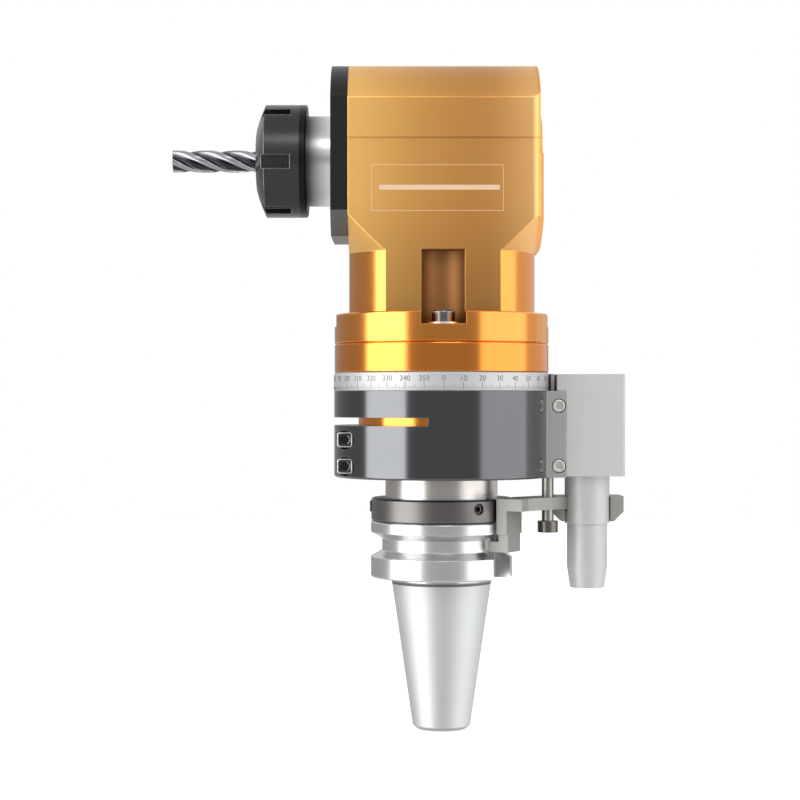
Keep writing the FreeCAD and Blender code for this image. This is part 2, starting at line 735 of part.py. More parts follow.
def collet_nut():
    """Clamping nut with six spanner slots and a domed front."""
    body = turned([
        (NOSE_R + RUN, NUT_BACK), (NUT_R - EDGE_BEVEL, NUT_BACK), (NUT_R, NUT_BACK + EDGE_BEVEL),
        (NUT_R, NUT_FRONT), (nut_cone_radius(NUT_FRONT), NUT_FRONT),
        (nut_cone_radius(NOSE_FRONT + GAP), NOSE_FRONT + GAP), (NOSE_R + RUN, NOSE_FRONT + GAP),
    ])
    dome_low = NUT_SHOULDER - math.sqrt(NUT_DOME_R ** 2 - NUT_R ** 2)
    body = body.common(Part.makeSphere(NUT_DOME_R, Vector(0, 0, dome_low)))
    half = NUT_SLOT_WIDTH / 2
    slot = block(NUT_R - NUT_SLOT_DEPTH, NUT_R + OVERCUT, -half, half, NUT_SLOT_END, NUT_FRONT + OVERCUT)
    return on_tool_axis(cut_all(body, round_z(slot, NUT_SLOTS, NUT_SLOT_TILT)))


def cutter_outline(distance):
    """Four-fluted section of the cutter, turned to its place along the helix."""
    lead_turn = math.radians(360.0 * (CUTTER_TIP - distance) / CUTTER_LEAD)
    edges = []
    step = 2 * math.pi / CUTTER_TEETH
    edge_r = CUTTER_R - RUN
    for tooth in range(CUTTER_TEETH):
        start = tooth * step - lead_turn
        land = [(edge_r, 0.0), (edge_r, LAND_SHARE / 2), (edge_r, LAND_SHARE)]
        flute = [(edge_r, LAND_SHARE), (CUTTER_CORE_R + HEEL_RISE, HEEL_SHARE),
                 (CUTTER_CORE_R, ROOT_SHARE), (CUTTER_CORE_R + RAKE_RISE, RAKE_SHARE), (edge_r, 1.0)]
        corners = [polar(r, start + share * step, distance) for r, share in land]
        edges.append(Part.Arc(*corners).toShape())
        curve = Part.BSplineCurve()
        curve.interpolate([polar(r, start + share * step, distance) for r, share in flute])
        edges.append(curve.toShape())
    return Part.Wire(edges)


def polar(radius, angle, height):
    """Point from cylindrical coordinates."""
    return Vector(radius * math.cos(angle), radius * math.sin(angle), height)


def end_mill():
    """Four-flute cutter with a plain shank in the collet."""
    length = CUTTER_TIP - CUTTER_FLUTE_START
    stations = [CUTTER_FLUTE_START + length * i / CUTTER_STATIONS for i in range(CUTTER_STATIONS + 1)]
    fluted = Part.makeLoft([cutter_outline(t) for t in stations], True, False)
    shank = cylinder(CUTTER_R, CUTTER_BACK, CUTTER_FLUTE_START)
    return on_tool_axis(shank.fuse(fluted))


def ring_bore():
    """Room inside the clamp ring for the spigot and its seal cover."""
    return joined([
        cylinder(SPIGOT_R + RUN, RING_BOTTOM - OVERCUT, DIAL_TOP + OVERCUT),
        cylinder(SEAL_COVER_R + LOOSE, RING_BOTTOM - OVERCUT, SEAL_COVER_TOP + GAP),
    ])


def tangent_hole(x, z, radius, head_radius, seat_y, grip_y):
    """Hole along Y for a cap screw put in from the front, with its head pocket."""
    hole = aimed(cylinder(radius, -seat_y, grip_y), (x, 0, z), (0, 1, 0))
    pocket = aimed(cylinder(head_radius, seat_y, RING_R), (x, 0, z), (0, -1, 0))
    return hole.fuse(pocket)


def tangent_screw(x, z, radius, head_radius, head, seat_y, grip_y):
    """Cap screw along Y put in from the front."""
    screw = cap_screw(radius, seat_y + grip_y, head_radius, head)
    return aimed(screw, (x, -seat_y, z), (0, -1, 0))


def clamp_holes():
    """Holes of the ring's two clamp screws."""
    return [
        tangent_hole(CLAMP_SCREW_X, z, CLAMP_SCREW_R, CLAMP_HEAD_R + HOLE, CLAMP_SEAT_Y, CLAMP_GRIP_Y)
        for z in CLAMP_SCREW_Z
    ]


def clamp_screws():
    """Two screws that close the ring on the spigot."""
    return [
        tangent_screw(CLAMP_SCREW_X, z, CLAMP_SCREW_R, CLAMP_HEAD_R, CLAMP_HEAD, CLAMP_SEAT_Y, CLAMP_GRIP_Y)
        for z in CLAMP_SCREW_Z
    ]


def block_holes():
    """Holes of the two screws that pin the stop block in the fork."""
    seat = LUG_HALF - BLOCK_HEAD
    return [
        tangent_hole(BLOCK_SCREW_X, z, BLOCK_SCREW_R, BLOCK_HEAD_R + HOLE, seat, seat)
        for z in BLOCK_SCREW_Z
    ]


def block_screws():
    """Two screws that pin the stop block in the fork."""
    seat = LUG_HALF - BLOCK_HEAD
    return [
        tangent_screw(BLOCK_SCREW_X, z, BLOCK_SCREW_R, BLOCK_HEAD_R, BLOCK_HEAD, seat, seat)
        for z in BLOCK_SCREW_Z
    ]


def clamp_ring():
    """Slit clamp ring with the forked lug that carries the stop block."""
    body = turned([
        (0, RING_BOTTOM), (RING_R - RING_BEVEL, RING_BOTTOM), (RING_R, RING_BOTTOM + RING_BEVEL),
        (RING_R, RING_TOP), (0, RING_TOP),
    ])
    lug = block(LUG_START_X, LUG_X, -LUG_HALF, LUG_HALF, RING_BOTTOM, RING_TOP)
    body = joined([body, lug]).cut(ring_bore())
    half_slit = SLIT_WIDTH / 2
    slit = block(-RING_R - OVERCUT, SLIT_END_X, -RING_R, RING_R, SLIT_Z - half_slit, SLIT_Z + half_slit)
    half_split = SPLIT_WIDTH / 2
    split = block(-RING_R - OVERCUT, 0, -half_split, half_split, RING_BOTTOM - OVERCUT, SLIT_Z)
    fork = block(TONGUE_START_X, LUG_X + OVERCUT, -FORK_HALF, FORK_HALF,
                 RING_BOTTOM - OVERCUT, RING_TOP + OVERCUT)
    return cut_all(body, [slit, split, fork, guide_thread()] + clamp_holes() + block_holes())


def guide_thread():
    """Threaded end of the guide screw."""
    hole = cylinder(GUIDE_THREAD_R, RING_BOTTOM - OVERCUT, RING_BOTTOM + GUIDE_THREAD)
    return moved(hole, GUIDE_X, GUIDE_Y)


def guide_screw():
    """Shoulder screw under the lug that guides the lever and stops its way down."""
    head_top = LEVER_BOTTOM - PIN_TRAVEL - GAP
    head = cylinder(GUIDE_HEAD_R, head_top - GUIDE_HEAD, head_top)
    head = head.cut(hexagon(GUIDE_R * 2, head_top - GUIDE_HEAD - OVERCUT, head_top - GUIDE_HEAD / 2))
    rod = cylinder(GUIDE_R, head_top, RING_BOTTOM)
    thread = cylinder(GUIDE_THREAD_R, RING_BOTTOM, RING_BOTTOM + GUIDE_THREAD)
    return moved(joined([head, rod, thread]), GUIDE_X, GUIDE_Y)


def degree_ring():
    """Plain ring for the angle scale, pressed on the spigot under the base ring."""
    low = RING_TOP + GAP
    return turned([
        (SPIGOT_R, low), (DIAL_R, low), (DIAL_R, DIAL_TOP - DIAL_BEVEL),
        (DIAL_R - DIAL_BEVEL, DIAL_TOP), (SPIGOT_R, DIAL_TOP),
    ])


def index_plate():
    """Upright plate on the lug whose edge marks the angle on the scale."""
    low = DIAL_R + LOOSE
    return block(low, low + INDEX_THICKNESS, -INDEX_HALF, INDEX_HALF, RING_TOP, DIAL_TOP - DIAL_BEVEL)


def stop_block():
    """Block in the ring's fork that houses the sprung pin."""
    outer_x = PIN_X + BLOCK_HALF_X
    plan = block(LUG_X + GAP, outer_x, -BLOCK_HALF_Y, BLOCK_HALF_Y, BLOCK_BOTTOM, BLOCK_TOP)
    upright = [e for e in straight_edges(plan, "z") if e.Vertexes[0].X > PIN_X]
    plan = plan.makeFillet(BLOCK_BEVEL, upright)
    shelf = block(BLOCK_INNER_X, PIN_X, -BLOCK_HALF_Y, BLOCK_HALF_Y, RING_TOP + GAP, BLOCK_TOP)
    tongue = block(TONGUE_START_X + GAP, PIN_X, -FORK_HALF, FORK_HALF, BLOCK_BOTTOM, RING_TOP)
    body = joined([plan, shelf, tongue])
    cavity = moved(cylinder(PLUNGER_R + RUN, BLOCK_BOTTOM - OVERCUT, BLOCK_TOP - PLUG_THICKNESS), PIN_X)
    plug_room = moved(cylinder(PLUG_R, BLOCK_TOP - PLUG_THICKNESS, BLOCK_TOP + OVERCUT), PIN_X)
    return cut_all(body, [cavity, plug_room] + block_holes())


def spring_plug():
    """Plug with a hexagon socket that closes the block over the spring."""
    plug = cylinder(PLUG_R, BLOCK_TOP - PLUG_THICKNESS, BLOCK_TOP)
    plug = plug.cut(hexagon(PLUG_R, BLOCK_TOP - PLUG_THICKNESS / 2, BLOCK_TOP + OVERCUT))
    return moved(plug, PIN_X)


def plunger_spring():
    """Coil spring between the plunger and the plug."""
    low = PLUNGER_TOP + SPRING_WIRE_R + GAP
    height = BLOCK_TOP - PLUG_THICKNESS - SPRING_WIRE_R - GAP - low
    path = Part.makeHelix(height / SPRING_TURNS, height, SPRING_R)
    section = Part.Wire(Part.makeCircle(SPRING_WIRE_R, Vector(SPRING_R, 0, 0), Vector(0, 1, 0)))
    coil = Part.Wire(path).makePipeShell([section], True, True)
    return moved(coil, PIN_X, z=low)


def lock_plunger():
    """Sprung locating pin with its larger plunger and spring stem."""
    pin = turned([
        (0, PIN_BOTTOM), (PIN_TIP_R, PIN_BOTTOM), (PIN_R, PIN_BOTTOM + PIN_LEAD), (PIN_R, PIN_SHOULDER),
        (PLUNGER_R, PIN_SHOULDER), (PLUNGER_R, PLUNGER_TOP), (STEM_R, PLUNGER_TOP),
        (STEM_R, STEM_TOP), (0, STEM_TOP),
    ])
    return moved(pin, PIN_X).cut(lever_screw())


def lever_screw():
    """Screw from the back of the lever's hub into the plunger."""
    z = (HUB_BOTTOM + LEVER_TOP) / 2
    screw = countersunk(LEVER_SCREW_R, HUB_REAR_Y - PLUNGER_R + PLUNGER_R / 2)
    return aimed(screw, (PIN_X, HUB_REAR_Y, z), (0, 1, 0))


def lock_lever():
    """Lever on the plunger whose tooth runs in the flange groove and drops into a keyway."""
    z = (HUB_BOTTOM + LEVER_TOP) / 2
    left, right = PIN_X - HUB_HALF_X, PIN_X + HUB_HALF_X
    hub = block(left, right, HUB_FRONT_Y, HUB_REAR_Y, HUB_BOTTOM, LEVER_TOP)
    lower = [e for e in straight_edges(hub, "y") if e.CenterOfMass.z < z]
    hub = hub.makeChamfer(HUB_BEVEL, lower)
    out = direction(KEYWAY_ANGLE)
    nose_inner = FLANGE_R + NOSE_GAP
    nose_outer = nose_inner + NOSE_THICKNESS
    tip = (out[0] * nose_outer, out[1] * nose_outer)
    start = (left + HUB_BEVEL, (HUB_FRONT_Y + HUB_REAR_Y) / 4)
    length = math.hypot(start[0] - tip[0], start[1] - tip[1])
    across = ((start[1] - tip[1]) / length * ARM_HALF, (tip[0] - start[0]) / length * ARM_HALF)
    arm = prism([
        (start[0] + across[0], start[1] + across[1]), (start[0] - across[0], start[1] - across[1]),
        (tip[0] - across[0], tip[1] - across[1]), (tip[0] + across[0], tip[1] + across[1]),
    ], LEVER_BOTTOM, LEVER_TOP)
    reach = nose_outer + ARM_HALF
    head = block(nose_inner - OVERCUT, reach, -ARM_HALF, ARM_HALF, LEVER_BOTTOM, LEVER_TOP)
    head = spun(head, KEYWAY_ANGLE)
    nose = spun(block(0, nose_outer, -ARM_HALF, ARM_HALF, NOSE_BOTTOM, LEVER_TOP), KEYWAY_ANGLE)
    leg = spun(block(0, nose_outer, -TOOTH_HALF, TOOTH_HALF, TOOTH_BOTTOM, LEVER_TOP), KEYWAY_ANGLE)
    nose = nose.fuse(leg).cut(cylinder(nose_inner, TOOTH_BOTTOM - OVERCUT, LEVER_TOP + OVERCUT))
    tooth = spun(block(0, nose_outer, -TOOTH_HALF, TOOTH_HALF, TOOTH_BOTTOM, TOOTH_TOP), KEYWAY_ANGLE)
    tooth = tooth.cut(cylinder(TOOTH_REACH, TOOTH_BOTTOM - OVERCUT, TOOTH_TOP + OVERCUT))
    upper = joined([hub, arm, head]).cut(cylinder(nose_inner, HUB_BOTTOM - OVERCUT, LEVER_TOP + OVERCUT))
    lever = joined([upper, nose, tooth])
    seat = moved(cylinder(PLUNGER_R, HUB_BOTTOM - OVERCUT, LEVER_TOP + OVERCUT), PIN_X)
    mouth = block(PIN_X - PLUNGER_R, PIN_X + PLUNGER_R, HUB_FRONT_Y - OVERCUT, 0,
                  HUB_BOTTOM - OVERCUT, LEVER_TOP + OVERCUT)
    guide = moved(cylinder(GUIDE_R + HOLE, HUB_BOTTOM - OVERCUT, LEVER_TOP + OVERCUT), GUIDE_X, GUIDE_Y)
    screw_room = aimed(sink(LEVER_SCREW_R, HUB_REAR_Y - PLUNGER_R / 2), (PIN_X, HUB_REAR_Y, z), (0, 1, 0))
    return cut_all(lever, [seat, mouth, guide, screw_room])


def base_ring():
    """Ring and spigot that turn in the clamp ring and hold the lower bearing."""
    low = DIAL_TOP
    return cut_all(turned([
        (LOWER_BORE_R, SEAL_COVER_TOP), (SPIGOT_R, SEAL_COVER_TOP), (SPIGOT_R, low),
        (BASE_R - EDGE_BEVEL, low), (BASE_R, low + EDGE_BEVEL), (BASE_R, BASE_TOP - EDGE_BEVEL),
        (BASE_R - EDGE_BEVEL, BASE_TOP), (BASE_BORE_R, BASE_TOP), (BASE_BORE_R, LOWER_TOP),
        (LOWER_BORE_R, LOWER_TOP),
    ]), bolt_holes(BOLT_R) + seal_cover_screws())


def bolt_holes(radius):
    """Holes of the bolts between head and base ring."""
    low = POCKET_BOTTOM - BOLT_GRIP - flange_grip()
    hole = moved(cylinder(radius, low, POCKET_BOTTOM + OVERCUT), BOLT_CIRCLE)
    return [spun(hole, angle) for angle in BOLT_ANGLES]


def flange_grip():
    """Thickness of the head's flange under a bolt head."""
    return POCKET_BOTTOM - BASE_TOP


def flange_bolts():
    """Cap screws in the head's pockets."""
    bolt = cap_screw(BOLT_R, flange_grip() + BOLT_GRIP, BOLT_HEAD_R, BOLT_HEAD)
    bolt = moved(bolt, BOLT_CIRCLE, z=POCKET_BOTTOM)
    return [spun(bolt, angle) for angle in BOLT_ANGLES]


def arch(half, low, radius):
    """Arched block along the tool axis, from the head's rear face to its front face."""
    sides = block(-HEAD_FRONT, -HEAD_REAR, -half, half, low, HEAD_AXIS_Z + radius)
    upright = [e for e in straight_edges(sides, "z") if e.Vertexes[0].X > 0]
    sides = sides.makeFillet(HEAD_CORNER_R, upright)
    crown = Part.makeCylinder(radius, 2 * radius + HEAD_FRONT, Vector(-HEAD_FRONT - radius, 0, HEAD_AXIS_Z),
                              Vector(1, 0, 0))
    below = block(-HEAD_FRONT - OVERCUT, -HEAD_REAR + OVERCUT, -radius, radius,
                  HEAD_NECK_TOP - OVERCUT, HEAD_AXIS_Z)
    return sides.common(crown.fuse(below))


def pocket_cut():
    """Rounded pocket over a flange bolt, open outwards along +X."""
    room = moved(cylinder(POCKET_R, POCKET_BOTTOM, POCKET_TOP), POCKET_AXIS)
    mouth = block(POCKET_AXIS, BASE_R + POCKET_R, -POCKET_R, POCKET_R, POCKET_BOTTOM, POCKET_TOP)
    return room.fuse(mouth)


def head_body():
    """Outer form of the head: round flange, trimmed neck, turned shoulder and arched block."""
    flange = turned([
        (0, BASE_TOP), (BASE_R - EDGE_BEVEL, BASE_TOP), (BASE_R, BASE_TOP + EDGE_BEVEL),
        (BASE_R, HEAD_FLANGE_TOP - EDGE_BEVEL), (BASE_R - EDGE_BEVEL, HEAD_FLANGE_TOP), (0, HEAD_FLANGE_TOP),
    ])
    register = cylinder(BASE_BORE_R, BASE_TOP - REGISTER, BASE_TOP)
    trim = block(-HEAD_FRONT, -HEAD_REAR, -HEAD_HALF, HEAD_HALF, BASE_TOP, HEAD_NECK_TOP)
    neck = cylinder(HEAD_NECK_R, HEAD_FLANGE_TOP, HEAD_NECK_TOP).common(trim)
    crown = HEAD_AXIS_Z + ARCH_R
    reach = HEAD_NECK_R + (crown - HEAD_NECK_TOP) / TURN_RISE
    shoulder = turned([(0, HEAD_NECK_TOP), (HEAD_NECK_R, HEAD_NECK_TOP), (reach, crown), (0, crown)])
    sides = arch(HEAD_HALF, HEAD_NECK_TOP, ARCH_R).common(shoulder)
    band = arch(HEAD_HALF + BAND_STEP, BAND_Z, ARCH_R)
    return joined([flange, register, neck, sides, band])


def head_rooms():
    """Bores of the head for the shaft, the gears, the tool spindle and the covers."""
    upright = [
        cylinder(UPPER_BORE_R, BASE_TOP - REGISTER - OVERCUT, UPPER_TOP),
        cylinder(GEAR_ROOM_R, UPPER_TOP - OVERCUT, GEAR_ROOM_TOP),
    ]
    level = [
        cylinder(FRONT_BORE_R, FRONT_BACK, HEAD_FRONT + OVERCUT),
        cylinder(GEAR_ROOM_R, GEAR_ROOM_BACK, FRONT_BACK + OVERCUT),
        cylinder(PASSAGE_R, REAR_BACK, GEAR_ROOM_BACK + OVERCUT),
        cylinder(REAR_BORE_R, HEAD_REAR, REAR_BACK + REAR_WIDTH),
        cylinder(CAP_R, HEAD_REAR - OVERCUT, HEAD_REAR + CAP_THICKNESS),
    ]
    return upright + [on_tool_axis(room) for room in level]


def head_housing():
    """Gold head with its bores, bolt pockets and screw holes."""
    pockets = [spun(pocket_cut(), angle) for angle in BOLT_ANGLES]
    screws = front_cover_screws() + rear_cap_screws()
    return cut_all(head_body(), head_rooms() + pockets + bolt_holes(BOLT_R + HOLE) + screws)


def cover_screw_places():
    """Angles about the tool axis of the front cover's screws."""
    return [360.0 * (i + 0.5) / COVER_SCREWS for i in range(COVER_SCREWS)]


def front_cover_screws():
    """Countersunk screws of the front cover."""
    screw = moved(countersunk(COVER_SCREW_R, COVER_THICKNESS + COVER_SCREW_GRIP), COVER_SCREW_CIRCLE)
    return [on_tool_axis(spun(moved(screw, z=COVER_FRONT), a)) for a in cover_screw_places()]


def front_cover():
    """Black cover over the front bearings, cut flat at its lower edge."""
    disc = on_tool_axis(cylinder(ARCH_R, HEAD_FRONT, COVER_FRONT))
    trim = block(-COVER_FRONT, -HEAD_FRONT, -HEAD_HALF, HEAD_HALF, COVER_BOTTOM, HEAD_AXIS_Z + ARCH_R)
    plate = disc.common(trim)
    hole = moved(sink(COVER_SCREW_R, COVER_THICKNESS + OVERCUT), COVER_SCREW_CIRCLE, z=COVER_FRONT)
    sinks = [on_tool_axis(spun(hole, a)) for a in cover_screw_places()]
    room = on_tool_axis(cylinder(FRONT_BORE_R, HEAD_FRONT - OVERCUT, COVER_FRONT - COVER_LIP))
    lip = on_tool_axis(cylinder(NOSE_R + LOOSE, HEAD_FRONT, COVER_FRONT + OVERCUT))
    return cut_all(plate, [room, lip] + sinks)


def front_spacer():
    """Spacer between the front bearing and the front seal."""
    return on_tool_axis(tube(GEAR_ROOM_R, FRONT_BORE_R, FRONT_END, front_seal_low()))


def front_seal_low():
    """Inner face of the front seal."""
    return FRONT_END + SPACER


def front_seal():
    """Seal ring round the spindle nose."""
    return on_tool_axis(tube(NOSE_R + RUN, FRONT_BORE_R, front_seal_low(), COVER_FRONT - COVER_LIP))


def rear_cap():
    """Round cap behind the tail bearing."""
    cap = turned([
        (0, HEAD_REAR), (CAP_R, HEAD_REAR), (CAP_R, HEAD_REAR + CAP_THICKNESS),
        (REAR_BORE_R, HEAD_REAR + CAP_THICKNESS), (REAR_BORE_R, REAR_BACK), (PASSAGE_R, REAR_BACK),
        (PASSAGE_R, HEAD_REAR + CAP_THICKNESS), (0, HEAD_REAR + CAP_THICKNESS),
    ])
    hole = moved(cap_screw_sink(), CAP_SCREW_CIRCLE)
    return on_tool_axis(cut_all(cap, round_z(hole, CAP_SCREWS, 180.0 / CAP_SCREWS)))


def cap_screw_sink():
    """Countersunk hole that opens at the rear face."""
    hole = aimed(sink(CAP_SCREW_R, CAP_SCREW_LENGTH), (0, 0, 0), (0, 0, -1))
    return moved(hole, z=HEAD_REAR)


def rear_cap_screws():
    """Countersunk screws of the rear cap."""
    screw = aimed(countersunk(CAP_SCREW_R, CAP_SCREW_LENGTH), (0, 0, 0), (0, 0, -1))
    screw = moved(screw, CAP_SCREW_CIRCLE, z=HEAD_REAR)
    return [on_tool_axis(one) for one in round_z(screw, CAP_SCREWS, 180.0 / CAP_SCREWS)]


def seal_cover():
    """Cover under the spigot that keeps the clamp ring on it and holds the lower seal."""
    low = RING_BOTTOM + GAP
    neck_room = RING_BOTTOM + RING_BEVEL + LOOSE
    cover = turned([
        (NECK_R + LOOSE, low), (SEAL_COVER_R, low), (SEAL_COVER_R, SEAL_COVER_TOP),
        (LOWER_BORE_R, SEAL_COVER_TOP), (LOWER_BORE_R, LOWER_Z), (SEAL_R, LOWER_Z),
        (SEAL_R, low + SEAL_COVER_LIP), (SEAL_JOURNAL_R + LOOSE, low + SEAL_COVER_LIP),
        (SEAL_JOURNAL_R + LOOSE, neck_room), (NECK_R + LOOSE, neck_room),
    ])
    return cut_all(cover, seal_cover_sinks())


def seal_cover_sinks():
    """Countersunk holes of the seal cover."""
    hole = aimed(sink(SEAL_COVER_SCREW_R, SEAL_COVER_SCREW_LENGTH), (0, 0, 0), (0, 0, -1))
    hole = moved(hole, SEAL_COVER_SCREW_CIRCLE, z=RING_BOTTOM + GAP)
    return round_z(hole, SEAL_COVER_SCREWS, 180.0 / SEAL_COVER_SCREWS)


def seal_cover_screws():
    """Countersunk screws of the seal cover."""
    screw = aimed(countersunk(SEAL_COVER_SCREW_R, SEAL_COVER_SCREW_LENGTH), (0, 0, 0), (0, 0, -1))
    screw = moved(screw, SEAL_COVER_SCREW_CIRCLE, z=RING_BOTTOM + GAP)
    return round_z(screw, SEAL_COVER_SCREWS, 180.0 / SEAL_COVER_SCREWS)


def lower_seal():
    """Seal ring round the shank above the seal cover's lip."""
    return tube(SEAL_JOURNAL_R + RUN, SEAL_R, RING_BOTTOM + GAP + SEAL_COVER_LIP, LOWER_Z)


def write(name, parts):
    """One sub-part in its own STEP file."""
    solids = parts if isinstance(parts, list) else [parts]
    shape = solids[0] if len(solids) == 1 else Part.makeCompound(solids)
    shape.exportStep("parts/" + name + ".step")


def write_bearings():
    """Rings of every bearing, and the balls with their cages."""
    lower = lower_bearing()
    upper = upper_bearing()
    rear = rear_bearing()
    rows = [front_bearing(row) for row in range(FRONT_ROWS)]
    for place, (inner, outer, balls) in (("lower", lower), ("upper", upper), ("rear", rear)):
        write(place + "_inner_ring", inner)
        write(place + "_outer_ring", outer)
        write(place + "_balls", balls)
    write("front_inner_rings", [row[0] for row in rows])
    write("front_outer_rings", [row[1] for row in rows])
    write("front_balls", [ball for row in rows for ball in row[2]])


def main():
    """Writes every sub-part to its own STEP file."""
    os.makedirs("parts", exist_ok=True)
    makers = (
        clamp_ring, index_plate, clamp_screws, stop_block, block_screws, spring_plug, plunger_spring,
        guide_screw, lock_plunger, lock_lever, lever_screw, base_ring, degree_ring, head_housing,
        flange_bolts, front_cover, front_cover_screws, front_spacer, front_seal, rear_cap, rear_cap_screws,
        seal_cover, seal_cover_screws, lower_seal, taper_shank, index_collar, collar_screws,
        drive_key, drive_gear, gear_screw, tool_spindle, driven_key, driven_gear, gear_nut,
        retaining_ring, collet, collet_nut, end_mill,
    )
    for maker in makers:
        write(maker.__name__, maker())
    write("shaft_nut", lock_nut(LOWER_SEAT_R, LOCK_NUT_R, LOWER_TOP, LOCK_NUT_HEIGHT))
    write_bearings()


main()
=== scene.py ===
# %% [markdown]
# # A right-angle milling head, dressed for the camera
# The solids of this head come ready made, so this lesson gives them their finishes and adds the
# small things that an engraver or a fitter would add last: the angle scale, a blank plate on the
# front and washers round the flange bolts. It also adds painted highlights round the sockets of two
# screws. The first step loads the solids. They are never moved or changed.

# %% Load the solids
import json
import math

import bmesh
import bpy
from mathutils import Matrix, Vector


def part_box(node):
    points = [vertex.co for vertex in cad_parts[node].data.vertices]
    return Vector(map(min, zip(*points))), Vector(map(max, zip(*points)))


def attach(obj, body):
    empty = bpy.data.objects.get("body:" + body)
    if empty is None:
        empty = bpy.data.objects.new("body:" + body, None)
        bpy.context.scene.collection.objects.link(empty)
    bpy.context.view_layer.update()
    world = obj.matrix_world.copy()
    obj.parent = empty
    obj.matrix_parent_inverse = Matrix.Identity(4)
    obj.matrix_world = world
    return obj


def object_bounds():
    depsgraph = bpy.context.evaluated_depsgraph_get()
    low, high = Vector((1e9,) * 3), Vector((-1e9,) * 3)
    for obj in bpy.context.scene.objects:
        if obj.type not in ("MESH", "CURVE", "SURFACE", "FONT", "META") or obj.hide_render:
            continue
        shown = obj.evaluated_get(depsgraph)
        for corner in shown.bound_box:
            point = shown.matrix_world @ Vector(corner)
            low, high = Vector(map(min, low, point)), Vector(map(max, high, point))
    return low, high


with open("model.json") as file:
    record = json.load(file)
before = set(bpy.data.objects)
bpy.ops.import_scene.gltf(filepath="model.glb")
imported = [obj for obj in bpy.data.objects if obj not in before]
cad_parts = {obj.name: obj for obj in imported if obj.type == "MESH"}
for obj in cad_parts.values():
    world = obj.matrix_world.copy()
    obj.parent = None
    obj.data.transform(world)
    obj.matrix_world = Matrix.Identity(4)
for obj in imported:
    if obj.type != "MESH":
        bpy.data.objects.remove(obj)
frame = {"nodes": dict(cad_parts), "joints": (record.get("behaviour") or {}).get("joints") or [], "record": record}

MM = 0.001
cad_box = [list(corner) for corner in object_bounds()]
print("nodes:", len(frame["nodes"]), "box:", cad_box)

# %% [markdown]
# ## Camera and light
# The photograph looks level at the front of the head, from a little under a metre away, with a long
# lens. Machined metal shows its shape by what it reflects, so two tall softboxes stand left and
# right of the camera: on a round surface each becomes an upright bright band, and the part that
# faces the camera stays darker. A weak one behind at the right lifts the far edge, and one overhead
# lights the tops.

# %% Camera
CENTRE = Vector((-0.0185, 0.0, 0.0806))
CAMERA_DISTANCE = 0.866
LENS_MM = 87.3
SENSOR_MM = 36
FAR_CLIP = 50

scene = bpy.context.scene
scene.view_settings.view_transform = "Standard"
camera = bpy.data.objects.new("camera", bpy.data.cameras.new("camera"))
scene.collection.objects.link(camera)
camera.location = CENTRE + Vector((0, -CAMERA_DISTANCE, 0))
camera.rotation_euler = (math.radians(90), 0, 0)
camera.data.lens = LENS_MM
camera.data.sensor_width = SENSOR_MM
camera.data.clip_end = FAR_CLIP
scene.camera = camera
print("camera at", tuple(round(v, 4) for v in camera.location))


# %% Softboxes
def softbox(name, angle, distance, width, height, power, lift=0.0):
    """Rectangular light aimed at the head; the angle is measured from the camera's side."""
    data = bpy.data.lights.new(name, "AREA")
    data.shape = "RECTANGLE"
    data.size, data.size_y = width, height
    data.energy = power
    lamp = bpy.data.objects.new(name, data)
    turn = math.radians(angle)
    aside = Vector((math.sin(turn), -math.cos(turn), 0)) * distance
    lamp.location = CENTRE + aside + Vector((0, 0, lift))
    lamp.rotation_euler = (CENTRE - lamp.location).to_track_quat("-Z", "Y").to_euler()
    scene.collection.objects.link(lamp)


softbox("softbox_left", angle=-62, distance=1.0, width=0.91, height=1.9, power=22)
softbox("softbox_right", angle=69.7, distance=1.0, width=1.12, height=1.9, power=11)
softbox("softbox_back_right", angle=126, distance=1.0, width=0.98, height=1.9, power=2.5)
softbox("softbox_top", angle=10, distance=1.3, width=0.9, height=0.5, power=6, lift=1.2)


# %% [markdown]
# ## Helpers for nodes
# The room and every finish are built from shader nodes. Three helpers keep that short: one puts a
# number or a colour into a socket, or links another node to it, and two make the nodes that are used
# most, a piece of arithmetic and a change of range.

# %% Helpers for nodes
def feed(tree, socket, value):
    """A number or a colour goes into the socket, and anything else is linked to it."""
    if isinstance(value, tuple):
        socket.default_value = value + (1,)
    elif isinstance(value, (int, float)):
        socket.default_value = value
    else:
        tree.links.new(value, socket)


def maths(tree, operation, *values, clamp=False):
    """One Math node with up to three values."""
    node = tree.nodes.new("ShaderNodeMath")
    node.operation = operation
    node.use_clamp = clamp
    for socket, value in zip(node.inputs, values):
        feed(tree, socket, value)
    return node.outputs[0]


def map_range(tree, value, source, target=(0.0, 1.0), smooth=False):
    """A value moved from one range to another, and held inside it."""
    node = tree.nodes.new("ShaderNodeMapRange")
    if smooth:
        node.interpolation_type = "SMOOTHSTEP"
    for label, number in zip(("From Min", "From Max", "To Min", "To Max"), source + target):
        node.inputs[label].default_value = number
    feed(tree, node.inputs["Value"], value)
    return node.outputs[0]


# %% [markdown]
# ## Room and floor
# The camera sees a white room, as in the photograph. The surfaces are lit by a slightly darker one,
# and reflections see it darkest at eye level, which keeps the softboxes' bands clear. The floor is a
# wide round sheet just under the shank.

# %% Room
WHITE = (1, 1, 1)
SEEN_STRENGTH = 1.0
LIT_STRENGTH = 0.78
MIRRORED_SLOPES = (0.09, 0.24)  # 0 is level, 1 is straight up or down
MIRRORED_STRENGTHS = (0.41, 0.84)


def background(tree, strength):
    """White surroundings; the strength is a number or another node's output."""
    node = tree.nodes.new("ShaderNodeBackground")
    feed(tree, node.inputs["Color"], WHITE)
    feed(tree, node.inputs["Strength"], strength)
    return node.outputs[0]


def mix_shader(tree, *values):
    """A factor and two shaders; the second shows where the factor is 1."""
    node = tree.nodes.new("ShaderNodeMixShader")
    for socket, value in zip(node.inputs, values):
        feed(tree, socket, value)
    return node.outputs[0]


